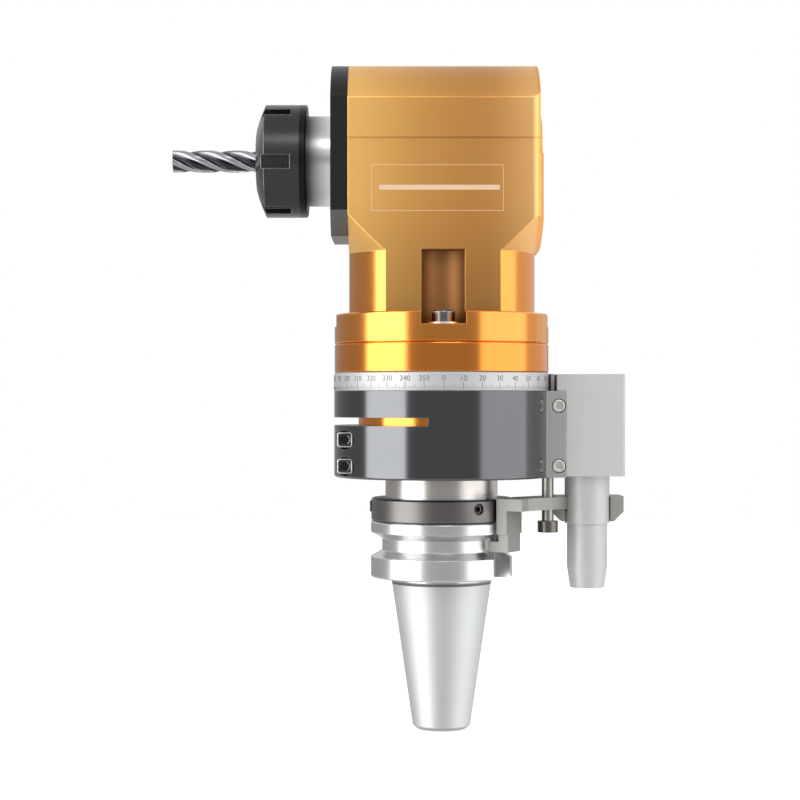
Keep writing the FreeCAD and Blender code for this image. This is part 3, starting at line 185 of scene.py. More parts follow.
def white_room():
    """World that differs for the camera, for reflections and for all other light."""
    world = bpy.data.worlds.new("room")
    world.use_nodes = True
    tree = world.node_tree
    tree.nodes.clear()
    rays = tree.nodes.new("ShaderNodeLightPath")
    aim = tree.nodes.new("ShaderNodeSeparateXYZ")
    tree.links.new(tree.nodes.new("ShaderNodeTexCoord").outputs["Generated"], aim.inputs[0])
    slope = maths(tree, "ABSOLUTE", aim.outputs[2])
    rise = map_range(tree, slope, MIRRORED_SLOPES, MIRRORED_STRENGTHS, smooth=True)
    lit = background(tree, LIT_STRENGTH)
    mirrored = background(tree, rise)
    seen = background(tree, SEEN_STRENGTH)
    soft = mix_shader(tree, rays.outputs["Is Glossy Ray"], lit, mirrored)
    whole = mix_shader(tree, rays.outputs["Is Camera Ray"], soft, seen)
    out = tree.nodes.new("ShaderNodeOutputWorld")
    tree.links.new(whole, out.inputs["Surface"])
    return world


scene.world = white_room()
print("world nodes:", len(scene.world.node_tree.nodes))

# %% Floor
FLOOR_R = 1.5
FLOOR_SIDES = 96
FLOOR_GAP = 0.0003
FLOOR_Z = round(cad_box[0][2] - FLOOR_GAP, 4)

sheet = bmesh.new()
bmesh.ops.create_circle(sheet, cap_ends=True, segments=FLOOR_SIDES, radius=FLOOR_R)
bmesh.ops.translate(sheet, verts=sheet.verts, vec=(0, 0, FLOOR_Z))
floor = bpy.data.objects.new("floor", bpy.data.meshes.new("floor"))
sheet.to_mesh(floor.data)
sheet.free()
scene.collection.objects.link(floor)
floor.visible_glossy = False
print("floor at", FLOOR_Z)


# %% [markdown]
# ## Node groups for the finishes
# Each effect that several metals share is a node group, made once. The groups put out masks and
# values only, and the Principled shader stays in the material. Every pattern reads Object
# coordinates, in metres, so it keeps its real size.

# %% Helpers for groups
def new_group(name, inputs, outputs):
    """Empty node group with named sockets; each input is a name, a type and a value."""
    group = bpy.data.node_groups.new(name, "ShaderNodeTree")
    for label, kind, value in inputs:
        socket = group.interface.new_socket(label, in_out="INPUT", socket_type="NodeSocket" + kind)
        if value is not None:
            socket.default_value = value
    for label, kind in outputs:
        group.interface.new_socket(label, in_out="OUTPUT", socket_type="NodeSocket" + kind)
    return group, group.nodes.new("NodeGroupInput"), group.nodes.new("NodeGroupOutput")


def noise(tree, place, scale, detail, roughness=0.5, kind="3D"):
    """Noise texture; a 1D noise reads one number as its place."""
    node = tree.nodes.new("ShaderNodeTexNoise")
    node.noise_dimensions = kind
    for label, value in (("Scale", scale), ("Detail", detail), ("Roughness", roughness)):
        feed(tree, node.inputs[label], value)
    feed(tree, node.inputs["W" if kind == "1D" else "Vector"], place)
    return node.outputs[0]


def radius_of(tree, first, second):
    """Distance from an axis, from the two places across it."""
    square = maths(tree, "MULTIPLY", first, first)
    return maths(tree, "SQRT", maths(tree, "MULTIPLY_ADD", second, second, square))


# %% [markdown]
# A lathe leaves fine rings round the axis. On a cylinder they lie at one height, and on a flat end
# at one radius, so a one-dimensional noise that reads height plus radius draws them on both.
# A second, broad noise keeps the rings from looking printed.

# %% Turned grain
PER_METRE = 1000


def make_turned():
    """Group for turned metal."""
    group, into, out = new_group(
        "turned_grain",
        [("Vector", "Vector", None), ("Lines per mm", "Float", 3.0)],
        [("Rings", "Float"), ("Cloud", "Float")],
    )
    split = group.nodes.new("ShaderNodeSeparateXYZ")
    group.links.new(into.outputs["Vector"], split.inputs[0])
    radius = radius_of(group, split.outputs[0], split.outputs[1])
    along = maths(group, "ADD", radius, split.outputs[2])
    density = maths(group, "MULTIPLY", into.outputs["Lines per mm"], PER_METRE)
    rings = noise(group, maths(group, "MULTIPLY", along, density), scale=1.0, detail=3.0, kind="1D")
    cloud = noise(group, into.outputs["Vector"], scale=45, detail=5, roughness=0.65)
    group.links.new(rings, out.inputs["Rings"])
    group.links.new(cloud, out.inputs["Cloud"])
    return group


turned_grain = make_turned()
print("group:", turned_grain.name)


# %% [markdown]
# Blasted and anodised faces have a fine even grain instead, with faint handling marks. Two noises
# do it: a close one for the grain and a stretched one for the marks.

# %% Blasted grain
MARKS_STRETCH = (60, 60, 11)


def make_blasted():
    """Group for blasted metal."""
    group, into, out = new_group(
        "blasted_grain",
        [("Vector", "Vector", None), ("Grain per mm", "Float", 4.0)],
        [("Grain", "Float"), ("Marks", "Float")],
    )
    density = maths(group, "MULTIPLY", into.outputs["Grain per mm"], PER_METRE)
    grain = noise(group, into.outputs["Vector"], scale=density, detail=2)
    stretch = group.nodes.new("ShaderNodeMapping")
    stretch.inputs["Scale"].default_value = MARKS_STRETCH
    group.links.new(into.outputs["Vector"], stretch.inputs["Vector"])
    marks = noise(group, stretch.outputs[0], scale=1, detail=6, roughness=0.6)
    group.links.new(grain, out.inputs["Grain"])
    group.links.new(marks, out.inputs["Marks"])
    return group


blasted_grain = make_blasted()
print("group:", blasted_grain.name)


# %% [markdown]
# Handling rubs the edges first. The Bevel node gives the normal that a rounded edge would have, and
# where it leaves the true normal there is an edge. A noise breaks the mask up, as real wear is.

# %% Edge wear
WEAR_GAIN = 7.0


def make_wear():
    """Group that finds edges and gives them a rounded normal."""
    group, into, out = new_group(
        "edge_wear",
        [("Vector", "Vector", None), ("Width", "Float", 0.0005)],
        [("Edge", "Float"), ("Normal", "Vector")],
    )
    rounded = group.nodes.new("ShaderNodeBevel")
    rounded.samples = 4
    group.links.new(into.outputs["Width"], rounded.inputs["Radius"])
    true = group.nodes.new("ShaderNodeNewGeometry")
    dot = group.nodes.new("ShaderNodeVectorMath")
    dot.operation = "DOT_PRODUCT"
    group.links.new(rounded.outputs[0], dot.inputs[0])
    group.links.new(true.outputs["Normal"], dot.inputs[1])
    turn = maths(group, "SUBTRACT", 1.0, dot.outputs["Value"], clamp=True)
    patches = noise(group, into.outputs["Vector"], scale=240, detail=4)
    patchy = maths(group, "MULTIPLY", turn, maths(group, "MULTIPLY", patches, WEAR_GAIN), clamp=True)
    group.links.new(patchy, out.inputs["Edge"])
    group.links.new(rounded.outputs[0], out.inputs["Normal"])
    return group


edge_wear = make_wear()
print("group:", edge_wear.name)


# %% [markdown]
# ## Masks by place
# Some solids carry two finishes, as a real piece does that is turned, blasted or milled in parts,
# and some masks carry painted shade, a painted shadow, painted light or a painted reflection instead.
# A mask is 1 where the second finish or the painted light or shade lies. Most of them need one axis
# only: they take a slab of the solid, beyond one place, short of another, or between the two. All
# places are in metres.

# %% Masks of one slab
def place_of(tree, axes):
    """Sockets of the named axes of the place on the solid."""
    split = tree.nodes.new("ShaderNodeSeparateXYZ")
    tree.links.new(tree.nodes.new("ShaderNodeTexCoord").outputs["Object"], split.inputs[0])
    return [split.outputs[axis] for axis in axes]


def within(tree, value, low, high):
    """1 where the value lies between two numbers."""
    above = maths(tree, "GREATER_THAN", value, low)
    return maths(tree, "MULTIPLY", above, maths(tree, "LESS_THAN", value, high))


def slab(axis, low=None, high=None):
    """Mask function that is 1 beyond the low place and short of the high one."""
    def mask(tree):
        (value,) = place_of(tree, axis)
        if high is None:
            return maths(tree, "GREATER_THAN", value, low)
        if low is None:
            return maths(tree, "LESS_THAN", value, high)
        return within(tree, value, low, high)

    print("slab along", axis, "from", low, "to", high)
    return mask


lug_light_mask = slab("X", low=0.0460)  # painted light: the lug and the hook of the clamp ring drawn paler, where the light washes over them
nut_rim_shade_mask = slab("X", low=-0.0625)  # painted shade: the recess round the back rim of the collet nut drawn darker
rear_mask = slab("X", low=0.0408)  # the machined rear face of the head
relief_shadow_mask = slab("Z", low=-0.0009, high=0.0001)  # painted shadow in the relief groove where the taper meets the flange
taper_mask = slab("Z", high=0.0)  # the ground taper below the flange
journal_mask = slab("Z", low=0.0385, high=0.0600)  # the neck of the shank above its collar, drawn browner and darker
guide_head_mask = slab("Z", high=0.0274)  # the dark head of the guide screw, below its bright stem


# %% [markdown]
# The others take more. The head's neck is turned at its sides and flat in front and behind. Painted
# shade fills its four pockets, which are closed by different faces, and a painted reflection lightens
# the cover where it turns in under itself. Two masks of painted shade fade out instead of ending: on
# the spindle's nose beside the nut, and in the flutes of the cutter, which lie nearer to its axis
# than the lands do.

# %% Other masks
FLANGE_TOP, SHOULDER = 0.1184, 0.1449  # heights
NECK_FLAT = 0.0339  # just behind the neck's flat front
POCKET_HALF = 0.0098  # half a pocket's width and a hair
POCKET_LOW, POCKET_HIGH = 0.1129, 0.1455
POCKET_BACK, POCKET_SIDE_R = 0.03385, 0.0415  # just inside the neck's flats and its round sides
COVER_X, COVER_LOW, COVER_HIGH = -0.03, 0.1500, 0.1622
NOSE_END, NOSE_DARK, NOSE_BRIGHT = -0.0610, -0.0585, -0.0495
FLUTE_R, LAND_R = 0.0036, 0.0048
TOOL_Z = next(j["pos_m"][2] for j in frame["joints"] if j["name"] == "tool_spin")


def cover_foot_mask(tree):
    """The two sides of the front cover that turn in under it, drawn paler as a painted reflection."""
    x, z = place_of(tree, "XZ")
    front = maths(tree, "LESS_THAN", x, COVER_X)
    return maths(tree, "MULTIPLY", front, within(tree, z, COVER_LOW, COVER_HIGH))


def neck_mask(tree):
    """The turned flange of the head, and the neck's turned sides below the shoulder, not its flats."""
    y, z = place_of(tree, "YZ")
    below = maths(tree, "LESS_THAN", z, SHOULDER)
    sides = maths(tree, "MULTIPLY", below, within(tree, y, -NECK_FLAT, NECK_FLAT))
    return maths(tree, "MAXIMUM", sides, maths(tree, "LESS_THAN", z, FLANGE_TOP))


def pocket_mask(tree):
    """Painted shade inside the four pockets over the flange bolts."""
    x, y, z = place_of(tree, "XYZ")
    behind_face = within(tree, y, -POCKET_BACK, POCKET_BACK)
    front_and_rear = maths(tree, "MULTIPLY", within(tree, x, -POCKET_HALF, POCKET_HALF), behind_face)
    inside_neck = maths(tree, "LESS_THAN", radius_of(tree, x, y), POCKET_SIDE_R)
    sides = maths(tree, "MULTIPLY", within(tree, y, -POCKET_HALF, POCKET_HALF), inside_neck)
    pockets = maths(tree, "MAXIMUM", front_and_rear, sides)
    return maths(tree, "MULTIPLY", pockets, within(tree, z, POCKET_LOW, POCKET_HIGH))


def nose_mask(tree):
    """Painted shadow on the spindle's nose beside the nut, fading out towards the cover."""
    (x,) = place_of(tree, "X")
    fade = map_range(tree, x, (NOSE_DARK, NOSE_BRIGHT), (1.0, 0.0))
    return maths(tree, "MULTIPLY", fade, maths(tree, "GREATER_THAN", x, NOSE_END))


def flute_mask(tree):
    """Painted shade in the flutes of the cutter, fading out towards its lands."""
    y, z = place_of(tree, "YZ")
    radius = radius_of(tree, maths(tree, "SUBTRACT", z, TOOL_Z), y)
    return map_range(tree, radius, (FLUTE_R, LAND_R), (1.0, 0.0))


print("tool axis at", TOOL_Z)

# %% [markdown]
# Light and shade are painted into the gold of the head. A colour ramp along the head gives a painted
# sheen, paler towards its ends where the side softboxes would shine, and painted shade, redder and
# darker in the middle of its faces. A second factor paints shade at the foot of the neck, a little
# darker towards the flange.

# %% Painted sheen and shade along the head
SHEEN_ENDS = (-0.039, 0.039)
SHEEN_TONES = (
    (0.0, (0.97, 0.96, 0.86)),
    (0.25, (0.77, 0.68, 0.55)),
    (0.5, (0.64, 0.52, 0.42)),
    (0.7, (0.60, 0.465, 0.385)),
    (0.85, (0.66, 0.56, 0.5)),
    (1.0, (0.90, 0.86, 0.95)),
)
FOOT_SHADE_HEIGHTS, FOOT_SHADE_FACTORS = (0.116, 0.166), (0.66, 1.0)


def anodised_drift(tree, colour):
    """The colour with a painted sheen towards the ends of the head and painted shade in the middle of its faces
    and at the foot of its neck.
    """
    x, z = place_of(tree, "XZ")
    ramp = tree.nodes.new("ShaderNodeValToRGB")
    ramp.color_ramp.interpolation = "B_SPLINE"
    while len(ramp.color_ramp.elements) < len(SHEEN_TONES):
        ramp.color_ramp.elements.new(0.5)
    for stop, (spot, tone) in zip(ramp.color_ramp.elements, SHEEN_TONES):
        stop.position = spot
        stop.color = tone + (1,)
    feed(tree, ramp.inputs[0], map_range(tree, x, SHEEN_ENDS))
    scaled = tree.nodes.new("ShaderNodeVectorMath")
    scaled.operation = "SCALE"
    feed(tree, scaled.inputs[0], ramp.outputs[0])
    feed(tree, scaled.inputs["Scale"], map_range(tree, z, FOOT_SHADE_HEIGHTS, FOOT_SHADE_FACTORS))
    product = tree.nodes.new("ShaderNodeVectorMath")
    product.operation = "MULTIPLY"
    feed(tree, product.inputs[0], colour)
    feed(tree, product.inputs[1], scaled.outputs[0])
    return product.outputs[0]


print("tones of the drift:", len(SHEEN_TONES))


# %% [markdown]
# ## One builder for the metals
# Every metal here is the same recipe with other values: a colour that drifts a little between two
# tones, worn edges in a third, a roughness that follows the grain, and a shallow bump. Pieces on
# the tool axis get their pattern turned, so that the rings run round that axis.

# %% Parts of the recipe
SHANK_AXIS, TOOL_AXIS = "shank", "tool"


def mix_colour(tree, factor, first, second):
    """Mix of two colours; the second shows where the factor is 1."""
    node = tree.nodes.new("ShaderNodeMix")
    node.data_type = "RGBA"
    for label, value in (("Factor", factor), ("A", first), ("B", second)):
        feed(tree, node.inputs[label], value)
    return node.outputs["Result"]


def in_zone(tree, zone, colour, rough):
    """Colour and roughness changed inside a mask: zone is mask, colour, share of it, roughness."""
    mask, own_colour, share, own_rough = zone
    inside = mask(tree)
    colour = mix_colour(tree, maths(tree, "MULTIPLY", inside, share), colour, own_colour)
    return colour, maths(tree, "MULTIPLY_ADD", inside, own_rough, rough)


def place_round(tree, axis):
    """Object coordinates, turned for pieces on the tool axis."""
    place = tree.nodes.new("ShaderNodeTexCoord").outputs["Object"]
    if axis == SHANK_AXIS:
        return place
    turn = tree.nodes.new("ShaderNodeMapping")
    turn.vector_type = "TEXTURE"
    turn.inputs["Location"].default_value = (0, 0, TOOL_Z)
    turn.inputs["Rotation"].default_value = (0, math.radians(90), 0)
    tree.links.new(place, turn.inputs["Vector"])
    return turn.outputs[0]


def use_group(tree, group, place):
    """A node group used in a material, reading a place."""
    node = tree.nodes.new("ShaderNodeGroup")
    node.node_tree = group
    tree.links.new(place, node.inputs["Vector"])
    return node


# %% Metal recipe
BUMP_HEIGHT = 0.00002
GRAINS = {"turned": turned_grain, "blasted": blasted_grain}


def metal(name, tones, worn, rough, spread=0.08, depth=0.15, grain="turned", axis=SHANK_AXIS,
          per_mm=3.0, metallic=1.0, wear=0.5, zones=(), drift_along=None):
    """Principled metal with turned or blasted grain; tones are the two colours it drifts between."""
    material = bpy.data.materials.new(name)
    material.use_nodes = True
    tree = material.node_tree
    tree.nodes.clear()
    place = place_round(tree, axis)
    pattern = use_group(tree, GRAINS[grain], place)
    pattern.inputs[1].default_value = per_mm
    fine, broad = pattern.outputs[0], pattern.outputs[1]
    edges = use_group(tree, edge_wear, place) if wear > 0 else None

    rub = maths(tree, "MULTIPLY", edges.outputs["Edge"], wear) if edges else 0.0
    colour = mix_colour(tree, rub, mix_colour(tree, broad, *tones), worn)
    # painted sheen and shade along the head, used by the gold head
    if drift_along:
        colour = drift_along(tree, colour)
    roughness = maths(tree, "MULTIPLY_ADD", fine, spread, rough - spread / 2)
    roughness = maths(tree, "MULTIPLY_ADD", broad, spread, roughness)
    for zone in zones:
        colour, roughness = in_zone(tree, zone, colour, roughness)

    bump = tree.nodes.new("ShaderNodeBump")
    bump.inputs["Strength"].default_value = depth
    bump.inputs["Distance"].default_value = BUMP_HEIGHT
    tree.links.new(fine, bump.inputs["Height"])
    if edges:
        tree.links.new(edges.outputs["Normal"], bump.inputs["Normal"])

    shader = tree.nodes.new("ShaderNodeBsdfPrincipled")
    shader.inputs["Metallic"].default_value = metallic
    tree.links.new(colour, shader.inputs["Base Color"])
    tree.links.new(roughness, shader.inputs["Roughness"])
    tree.links.new(bump.outputs[0], shader.inputs["Normal"])
    out = tree.nodes.new("ShaderNodeOutputMaterial")
    tree.links.new(shader.outputs[0], out.inputs["Surface"])
    return material


# %% [markdown]
# ## The finishes of this head
# Gold anodised aluminium for the head, dark turned steel for the clamp ring, satin silver for the
# scale, ground steel for the shank, black oxide for the nut and the small screws, and a pale matt
# plating on the stop block and its pin. A zone gives its mask, its colour, how much of that colour
# shows, and how much rougher or smoother it is.

# %% Gold and silver
finishes = {}


def add_finish(name, **recipe):
    """Metal kept under its own name."""
    finishes[name] = metal(name, **recipe)


add_finish(
    "gold_head", tones=((0.96, 0.58, 0.21), (0.90, 0.53, 0.18)), worn=(1.0, 0.72, 0.4), rough=0.36,
    # painted light: sheen towards the ends of the head, shade in the middle of its faces and at the neck's foot
    grain="blasted", per_mm=5, depth=0.08, wear=0.15, drift_along=anodised_drift,
    zones=(
        (neck_mask, (0.79, 0.297, 0.064), 0.95, -0.22),
        (rear_mask, (0.74, 0.35, 0.085), 0.9, 0.1),
        # painted shade inside the four pockets
        (pocket_mask, (0.26, 0.125, 0.048), 0.95, 0.38),
    ),
)
add_finish(
    "gold_ring", tones=((0.79, 0.275, 0.055), (0.73, 0.252, 0.047)), worn=(1.0, 0.68, 0.3), rough=0.15,
    depth=0.1, wear=0.3, spread=0.04,
)
add_finish(
    "dial_silver", tones=((0.47, 0.475, 0.48), (0.40, 0.405, 0.41)), worn=(0.7, 0.7, 0.7), rough=0.5,
    depth=0.2, metallic=0.8,
)
print("finishes:", len(finishes))

# %% Bright and grey steels
add_finish(
    "ring_steel", tones=((0.130, 0.133, 0.138), (0.110, 0.113, 0.118)), worn=(0.4, 0.4, 0.4),
    rough=0.13, depth=0.1, spread=0.04,
    # painted light: the lug drawn paler than the rest of the dark ring
    zones=((lug_light_mask, (0.42, 0.42, 0.41), 0.9, 0.35),),
)
add_finish(
    "ground_steel", tones=((0.63, 0.63, 0.63), (0.55, 0.55, 0.55)), worn=(0.8, 0.8, 0.8), rough=0.26,
    depth=0.1, per_mm=5, spread=0.04,
    zones=(
        (taper_mask, (0.50, 0.51, 0.52), 0.9, 0.31),
        # painted shadow in the relief groove under the flange
        (relief_shadow_mask, (0.12, 0.12, 0.12), 0.9, 0.1),
        (journal_mask, (0.50, 0.465, 0.42), 0.8, 0.0),
    ),
)
add_finish(
    "spindle_steel", tones=((0.82, 0.82, 0.81), (0.70, 0.70, 0.70)), worn=(0.9, 0.9, 0.9), rough=0.2,
    depth=0.25, per_mm=5, axis=TOOL_AXIS,
    # painted shadow on the nose beside the nut
    zones=((nose_mask, (0.05, 0.05, 0.05), 0.95, 0.15),),
)
add_finish(
    "cutter_steel", tones=((0.42, 0.415, 0.44), (0.30, 0.295, 0.315)), worn=(0.9, 0.9, 0.95), rough=0.2,
    depth=0.2, axis=TOOL_AXIS, per_mm=6, wear=1.0,
    # painted shade in the flutes, so the lands look brighter
    zones=((flute_mask, (0.035, 0.034, 0.040), 0.95, 0.05),),
)
add_finish(
    "guide_steel", tones=((0.34, 0.33, 0.31), (0.26, 0.25, 0.235)), worn=(0.8, 0.8, 0.78), rough=0.26,
    depth=0.2, zones=((guide_head_mask, (0.13, 0.12, 0.10), 0.9, 0.0),),
)
add_finish(
    "screw_bright", tones=((0.80, 0.79, 0.76), (0.64, 0.63, 0.60)), worn=(0.9, 0.9, 0.88), rough=0.24,
    grain="blasted", per_mm=6,
)
add_finish(
    "bolt_grey", tones=((0.20, 0.20, 0.205), (0.13, 0.13, 0.135)), worn=(0.8, 0.8, 0.8), rough=0.22,
    grain="blasted", per_mm=6, wear=1.0,
)
add_finish(
    "gear_steel", tones=((0.36, 0.36, 0.37), (0.26, 0.26, 0.27)), worn=(0.7, 0.7, 0.7), rough=0.3,
)
add_finish(
    "bearing_steel", tones=((0.72, 0.72, 0.73), (0.62, 0.62, 0.63)), worn=(0.9, 0.9, 0.9), rough=0.16,
    depth=0.1,
)
add_finish(
    "spring_steel", tones=((0.5, 0.5, 0.5), (0.4, 0.4, 0.4)), worn=(0.8, 0.8, 0.8), rough=0.3,
)
print("finishes:", len(finishes))

# %% Black, brown and plated finishes
add_finish(
    "collar_brown", tones=((0.168, 0.160, 0.156), (0.132, 0.124, 0.120)), worn=(0.5, 0.48, 0.45),
    rough=0.34, depth=0.15, spread=0.04,
)
add_finish(
    "nut_black", tones=((0.045, 0.045, 0.046), (0.034, 0.034, 0.035)), worn=(0.6, 0.6, 0.6), rough=0.22,
    depth=0.3, axis=TOOL_AXIS, metallic=0.8,
    # painted shade in the recess at the nut's back rim
    zones=((nut_rim_shade_mask, (0.006, 0.006, 0.006), 0.95, 0.05),),
)
add_finish(
    "cover_black", tones=((0.012, 0.012, 0.0125), (0.008, 0.008, 0.0085)), worn=(0.2, 0.2, 0.2),
    rough=0.34, grain="blasted", per_mm=5, metallic=0.6, axis=TOOL_AXIS, wear=0.3,
    # painted reflection: the cover's foot drawn paler than its black
    zones=((cover_foot_mask, (0.10, 0.098, 0.096), 0.95, 0.0),),
)
add_finish(
    "screw_black", tones=((0.05, 0.05, 0.052), (0.03, 0.03, 0.032)), worn=(0.5, 0.5, 0.5), rough=0.3,
    grain="blasted", per_mm=6, wear=0.9,
)
add_finish(
    "block_grey", tones=((0.42, 0.42, 0.415), (0.35, 0.35, 0.345)), worn=(0.75, 0.76, 0.75), rough=0.55,
    grain="blasted", per_mm=4, metallic=0.35, depth=0.3, wear=0.4,
)
add_finish(
    "pin_steel", tones=((0.40, 0.40, 0.395), (0.35, 0.35, 0.345)), worn=(0.85, 0.85, 0.85), rough=0.42,
    metallic=0.35, depth=0.3,
)
add_finish(
    "lever_grey", tones=((0.28, 0.275, 0.26), (0.22, 0.215, 0.20)), worn=(0.7, 0.7, 0.68), rough=0.45,
    grain="blasted", per_mm=4, metallic=0.6, depth=0.3,
)
add_finish(
    "seal_rubber", tones=((0.022, 0.022, 0.022), (0.014, 0.014, 0.014)), worn=(0.05, 0.05, 0.05),
    rough=0.7, grain="blasted", metallic=0.0, wear=0.2,
)
print("finishes:", len(finishes))

# %% [markdown]
# Each solid already has a material slot, so a finish goes on by filling that slot. Two slots have
# another name than their finish. The table of nodes names the few solids that differ from their
# record's slot: the gold is turned on the base ring and blasted on the head, the tool spindle and
# the collet have their grain round the tool axis, and the photograph shows the flange bolts greyer,
# the guide screw darker and the index plate paler than their slots say.

# %% Put the finishes on
BY_SLOT = {"gold_anodised": "gold_head", "shank_steel": "ground_steel"}
BY_NODE = {
    "base_ring": "gold_ring",
    "tool_spindle": "spindle_steel",
    "collet": "spindle_steel",
    "flange_bolts": "bolt_grey",
    "guide_screw": "guide_steel",
    "index_plate": "block_grey",
}
for part in frame["record"]["subparts"]:
    own_slot = part["material_slot"]
    finish = BY_NODE.get(part["node"], BY_SLOT.get(own_slot, own_slot))
    for slot in frame["nodes"][part["node"]].material_slots:
        slot.material = finishes[finish]


# %% [markdown]
# The floor is a plain pale matt sheet, a little uneven so that it isn't a flat colour. It glows
# faintly, which keeps it as white as the photograph's ground.

# %% Floor finish
FLOOR_GLOW = 0.35

finishes["floor"] = metal(
    "floor_pale", tones=((1.0, 1.0, 1.0), (0.97, 0.97, 0.97)), worn=(0.96, 0.96, 0.96), rough=0.9,
    grain="blasted", metallic=0.0, depth=0.0, wear=0.0, per_mm=0.05,
)
for node in finishes["floor"].node_tree.nodes:
    if node.type == "BSDF_PRINCIPLED":
        feed(finishes["floor"].node_tree, node.inputs["Emission Color"], WHITE)
        node.inputs["Emission Strength"].default_value = FLOOR_GLOW
floor.data.materials.append(finishes["floor"])
print("floor finish:", finishes["floor"].name)


# %% [markdown]
# ## Adding pieces
# Every new piece is modelled in millimetres where it belongs, and its mesh is scaled to metres when
# it is done, so its object stays at the origin like the solids. Most places come from the box of the
# solid that the piece lies on. A round solid is made of flat facets, which can take a little off its
# box, so a box is rounded to the tenths of a millimetre that the solids are drawn in.

# %% Helpers for a piece
SUNK = 0.005
STAND_UP = Matrix.Rotation(math.radians(90), 3, "X")


def box_mm(node):
    """Low and high corner of a solid, in millimetres."""
    return [Vector([round(v / MM, 1) for v in corner]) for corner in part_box(node)]


def round_the_shank(shape, count):
    """Copies the whole shape evenly round the shank's axis, so that there are so many in all."""
    bmesh.ops.spin(
        shape, geom=shape.verts[:] + shape.edges[:] + shape.faces[:], cent=(0, 0, 0), axis=(0, 0, 1),
        angle=2 * math.pi * (count - 1) / count, steps=count - 1, use_duplicate=True,
    )


def finished(name, shape, finish, body):
    """Mesh object from a bmesh drawn in millimetres, riding on a body."""
    bmesh.ops.scale(shape, vec=(MM, MM, MM), verts=shape.verts)
    bmesh.ops.recalc_face_normals(shape, faces=shape.faces)
    mesh = bpy.data.meshes.new(name)
    shape.to_mesh(mesh)
    shape.free()
    mesh.materials.append(finishes[finish])
    piece = bpy.data.objects.new(name, mesh)
    scene.collection.objects.link(piece)
    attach(piece, body)
    print(name, "faces:", len(mesh.polygons))


# %% [markdown]
# ## The angle scale
# The silver ring under the gold base carries the angle scale: a short line at each degree, longer
# ones at five and ten, and a number every ten degrees. On the real ring they are cut and filled with
# ink. Here each line is a very thin block of ink, and a spin with duplicates sets it round the ring.
# The ring turns with the head, so the scale rides on the head.

# %% Scale lines
dial_low, dial_high = box_mm("degree_ring")
DIAL_R, DIAL_LOW = dial_high.y, dial_low.z
INK = 0.03
LINE_FOOT = 0.3
finishes["ink"] = metal(
    "scale_ink", tones=((0.07, 0.07, 0.075), (0.11, 0.11, 0.115)), worn=(0.3, 0.3, 0.3), rough=0.5,
    grain="blasted", metallic=0.0, depth=0.1,
)


def scale_lines(name, every, height, width):
    """Ink lines round the ring, one at each step of so many degrees."""
    shape = bmesh.new()
    bmesh.ops.create_cube(shape, size=1)
    bmesh.ops.scale(shape, vec=(2 * INK, width, height), verts=shape.verts)
    middle = DIAL_LOW + LINE_FOOT + height / 2
    bmesh.ops.translate(shape, vec=(DIAL_R, 0, middle), verts=shape.verts)
    round_the_shank(shape, 360 // every)
    finished(name, shape, "ink", "head")


scale_lines("scale_lines_1", every=1, height=1.5, width=0.14)
scale_lines("scale_lines_5", every=5, height=2.3, width=0.18)
scale_lines("scale_lines_10", every=10, height=3.2, width=0.26)


# %% [markdown]
# The numbers start as text. A text is flat, so it is made a mesh first, and then its points are
# wrapped onto the ring: sideways distance becomes an angle. Thirty-six of them join in one piece.

# %% Scale numbers
NUMBER_SIZE = 3.3
NUMBER_FOOT = 4.1
NUMBER_STEPS = 3
FRONT_ANGLE = -90


def number_mesh(text):
    """Flat mesh of one number, centred on its foot."""
    words = bpy.data.curves.new("number", "FONT")
    words.body = text
    words.size = NUMBER_SIZE
    words.align_x = "CENTER"
    words.extrude = INK
    words.resolution_u = NUMBER_STEPS
    source = bpy.data.objects.new("number", words)
    scene.collection.objects.link(source)
    bpy.context.view_layer.update()
    flat = bpy.data.meshes.new_from_object(source.evaluated_get(bpy.context.evaluated_depsgraph_get()))
    bpy.data.objects.remove(source)
    return flat


def scale_numbers():
    """Numbers in tens of degrees, wrapped round the ring above the lines."""
    shape = bmesh.new()
    for degrees in range(0, 360, 10):
        flat = number_mesh(str(degrees))
        start = len(shape.verts)
        shape.from_mesh(flat)
        bpy.data.meshes.remove(flat)
        shape.verts.ensure_lookup_table()
        for point in shape.verts[start:]:
            angle = math.radians(degrees + FRONT_ANGLE) + point.co.x / DIAL_R
            reach = DIAL_R + point.co.z
            height = DIAL_LOW + NUMBER_FOOT + point.co.y
            point.co = Vector((reach * math.cos(angle), reach * math.sin(angle), height))
    finished("scale_numbers", shape, "ink", "head")


scale_numbers()


# %% [markdown]
# ## The blank plate
# The front of the head has a shallow framed field. Here it stays blank: a thin raised border, and
# one rule across it, with nothing written. The border is a plate with its middle taken out, which
# an inset and a deletion make. The rule is a thin bar with rounded corners.

# %% Framed field
FACE_Y = box_mm("front_cover")[0].y  # the cover is as wide as the head
FIELD_SIZE, FIELD_PLACE = (56.8, 19.8), (-2.4, 171.7)
FIELD_LINE = 0.3
RULE_SIZE, RULE_PLACE = (51.9, 2.1), (-1.55, 171.85)
RULE_CORNER = 0.3
finishes["pale_line"] = metal(
    "pale_line", tones=((0.52, 0.38, 0.25), (0.46, 0.33, 0.21)), worn=(0.6, 0.45, 0.3), rough=0.5,
    grain="blasted", metallic=0.2, depth=0.1, wear=0.0,
)


def on_face(shape, place):
    """Stand a flat shape up on the front of the head, sunk by a hair, with its middle at x and z."""
    lift = min(v.co.z for v in shape.verts) + SUNK
    bmesh.ops.translate(shape, verts=shape.verts, vec=(0, 0, -lift))
    bmesh.ops.rotate(shape, verts=shape.verts, cent=(0, 0, 0), matrix=STAND_UP)
    bmesh.ops.translate(shape, verts=shape.verts, vec=(place[0], FACE_Y, place[1]))


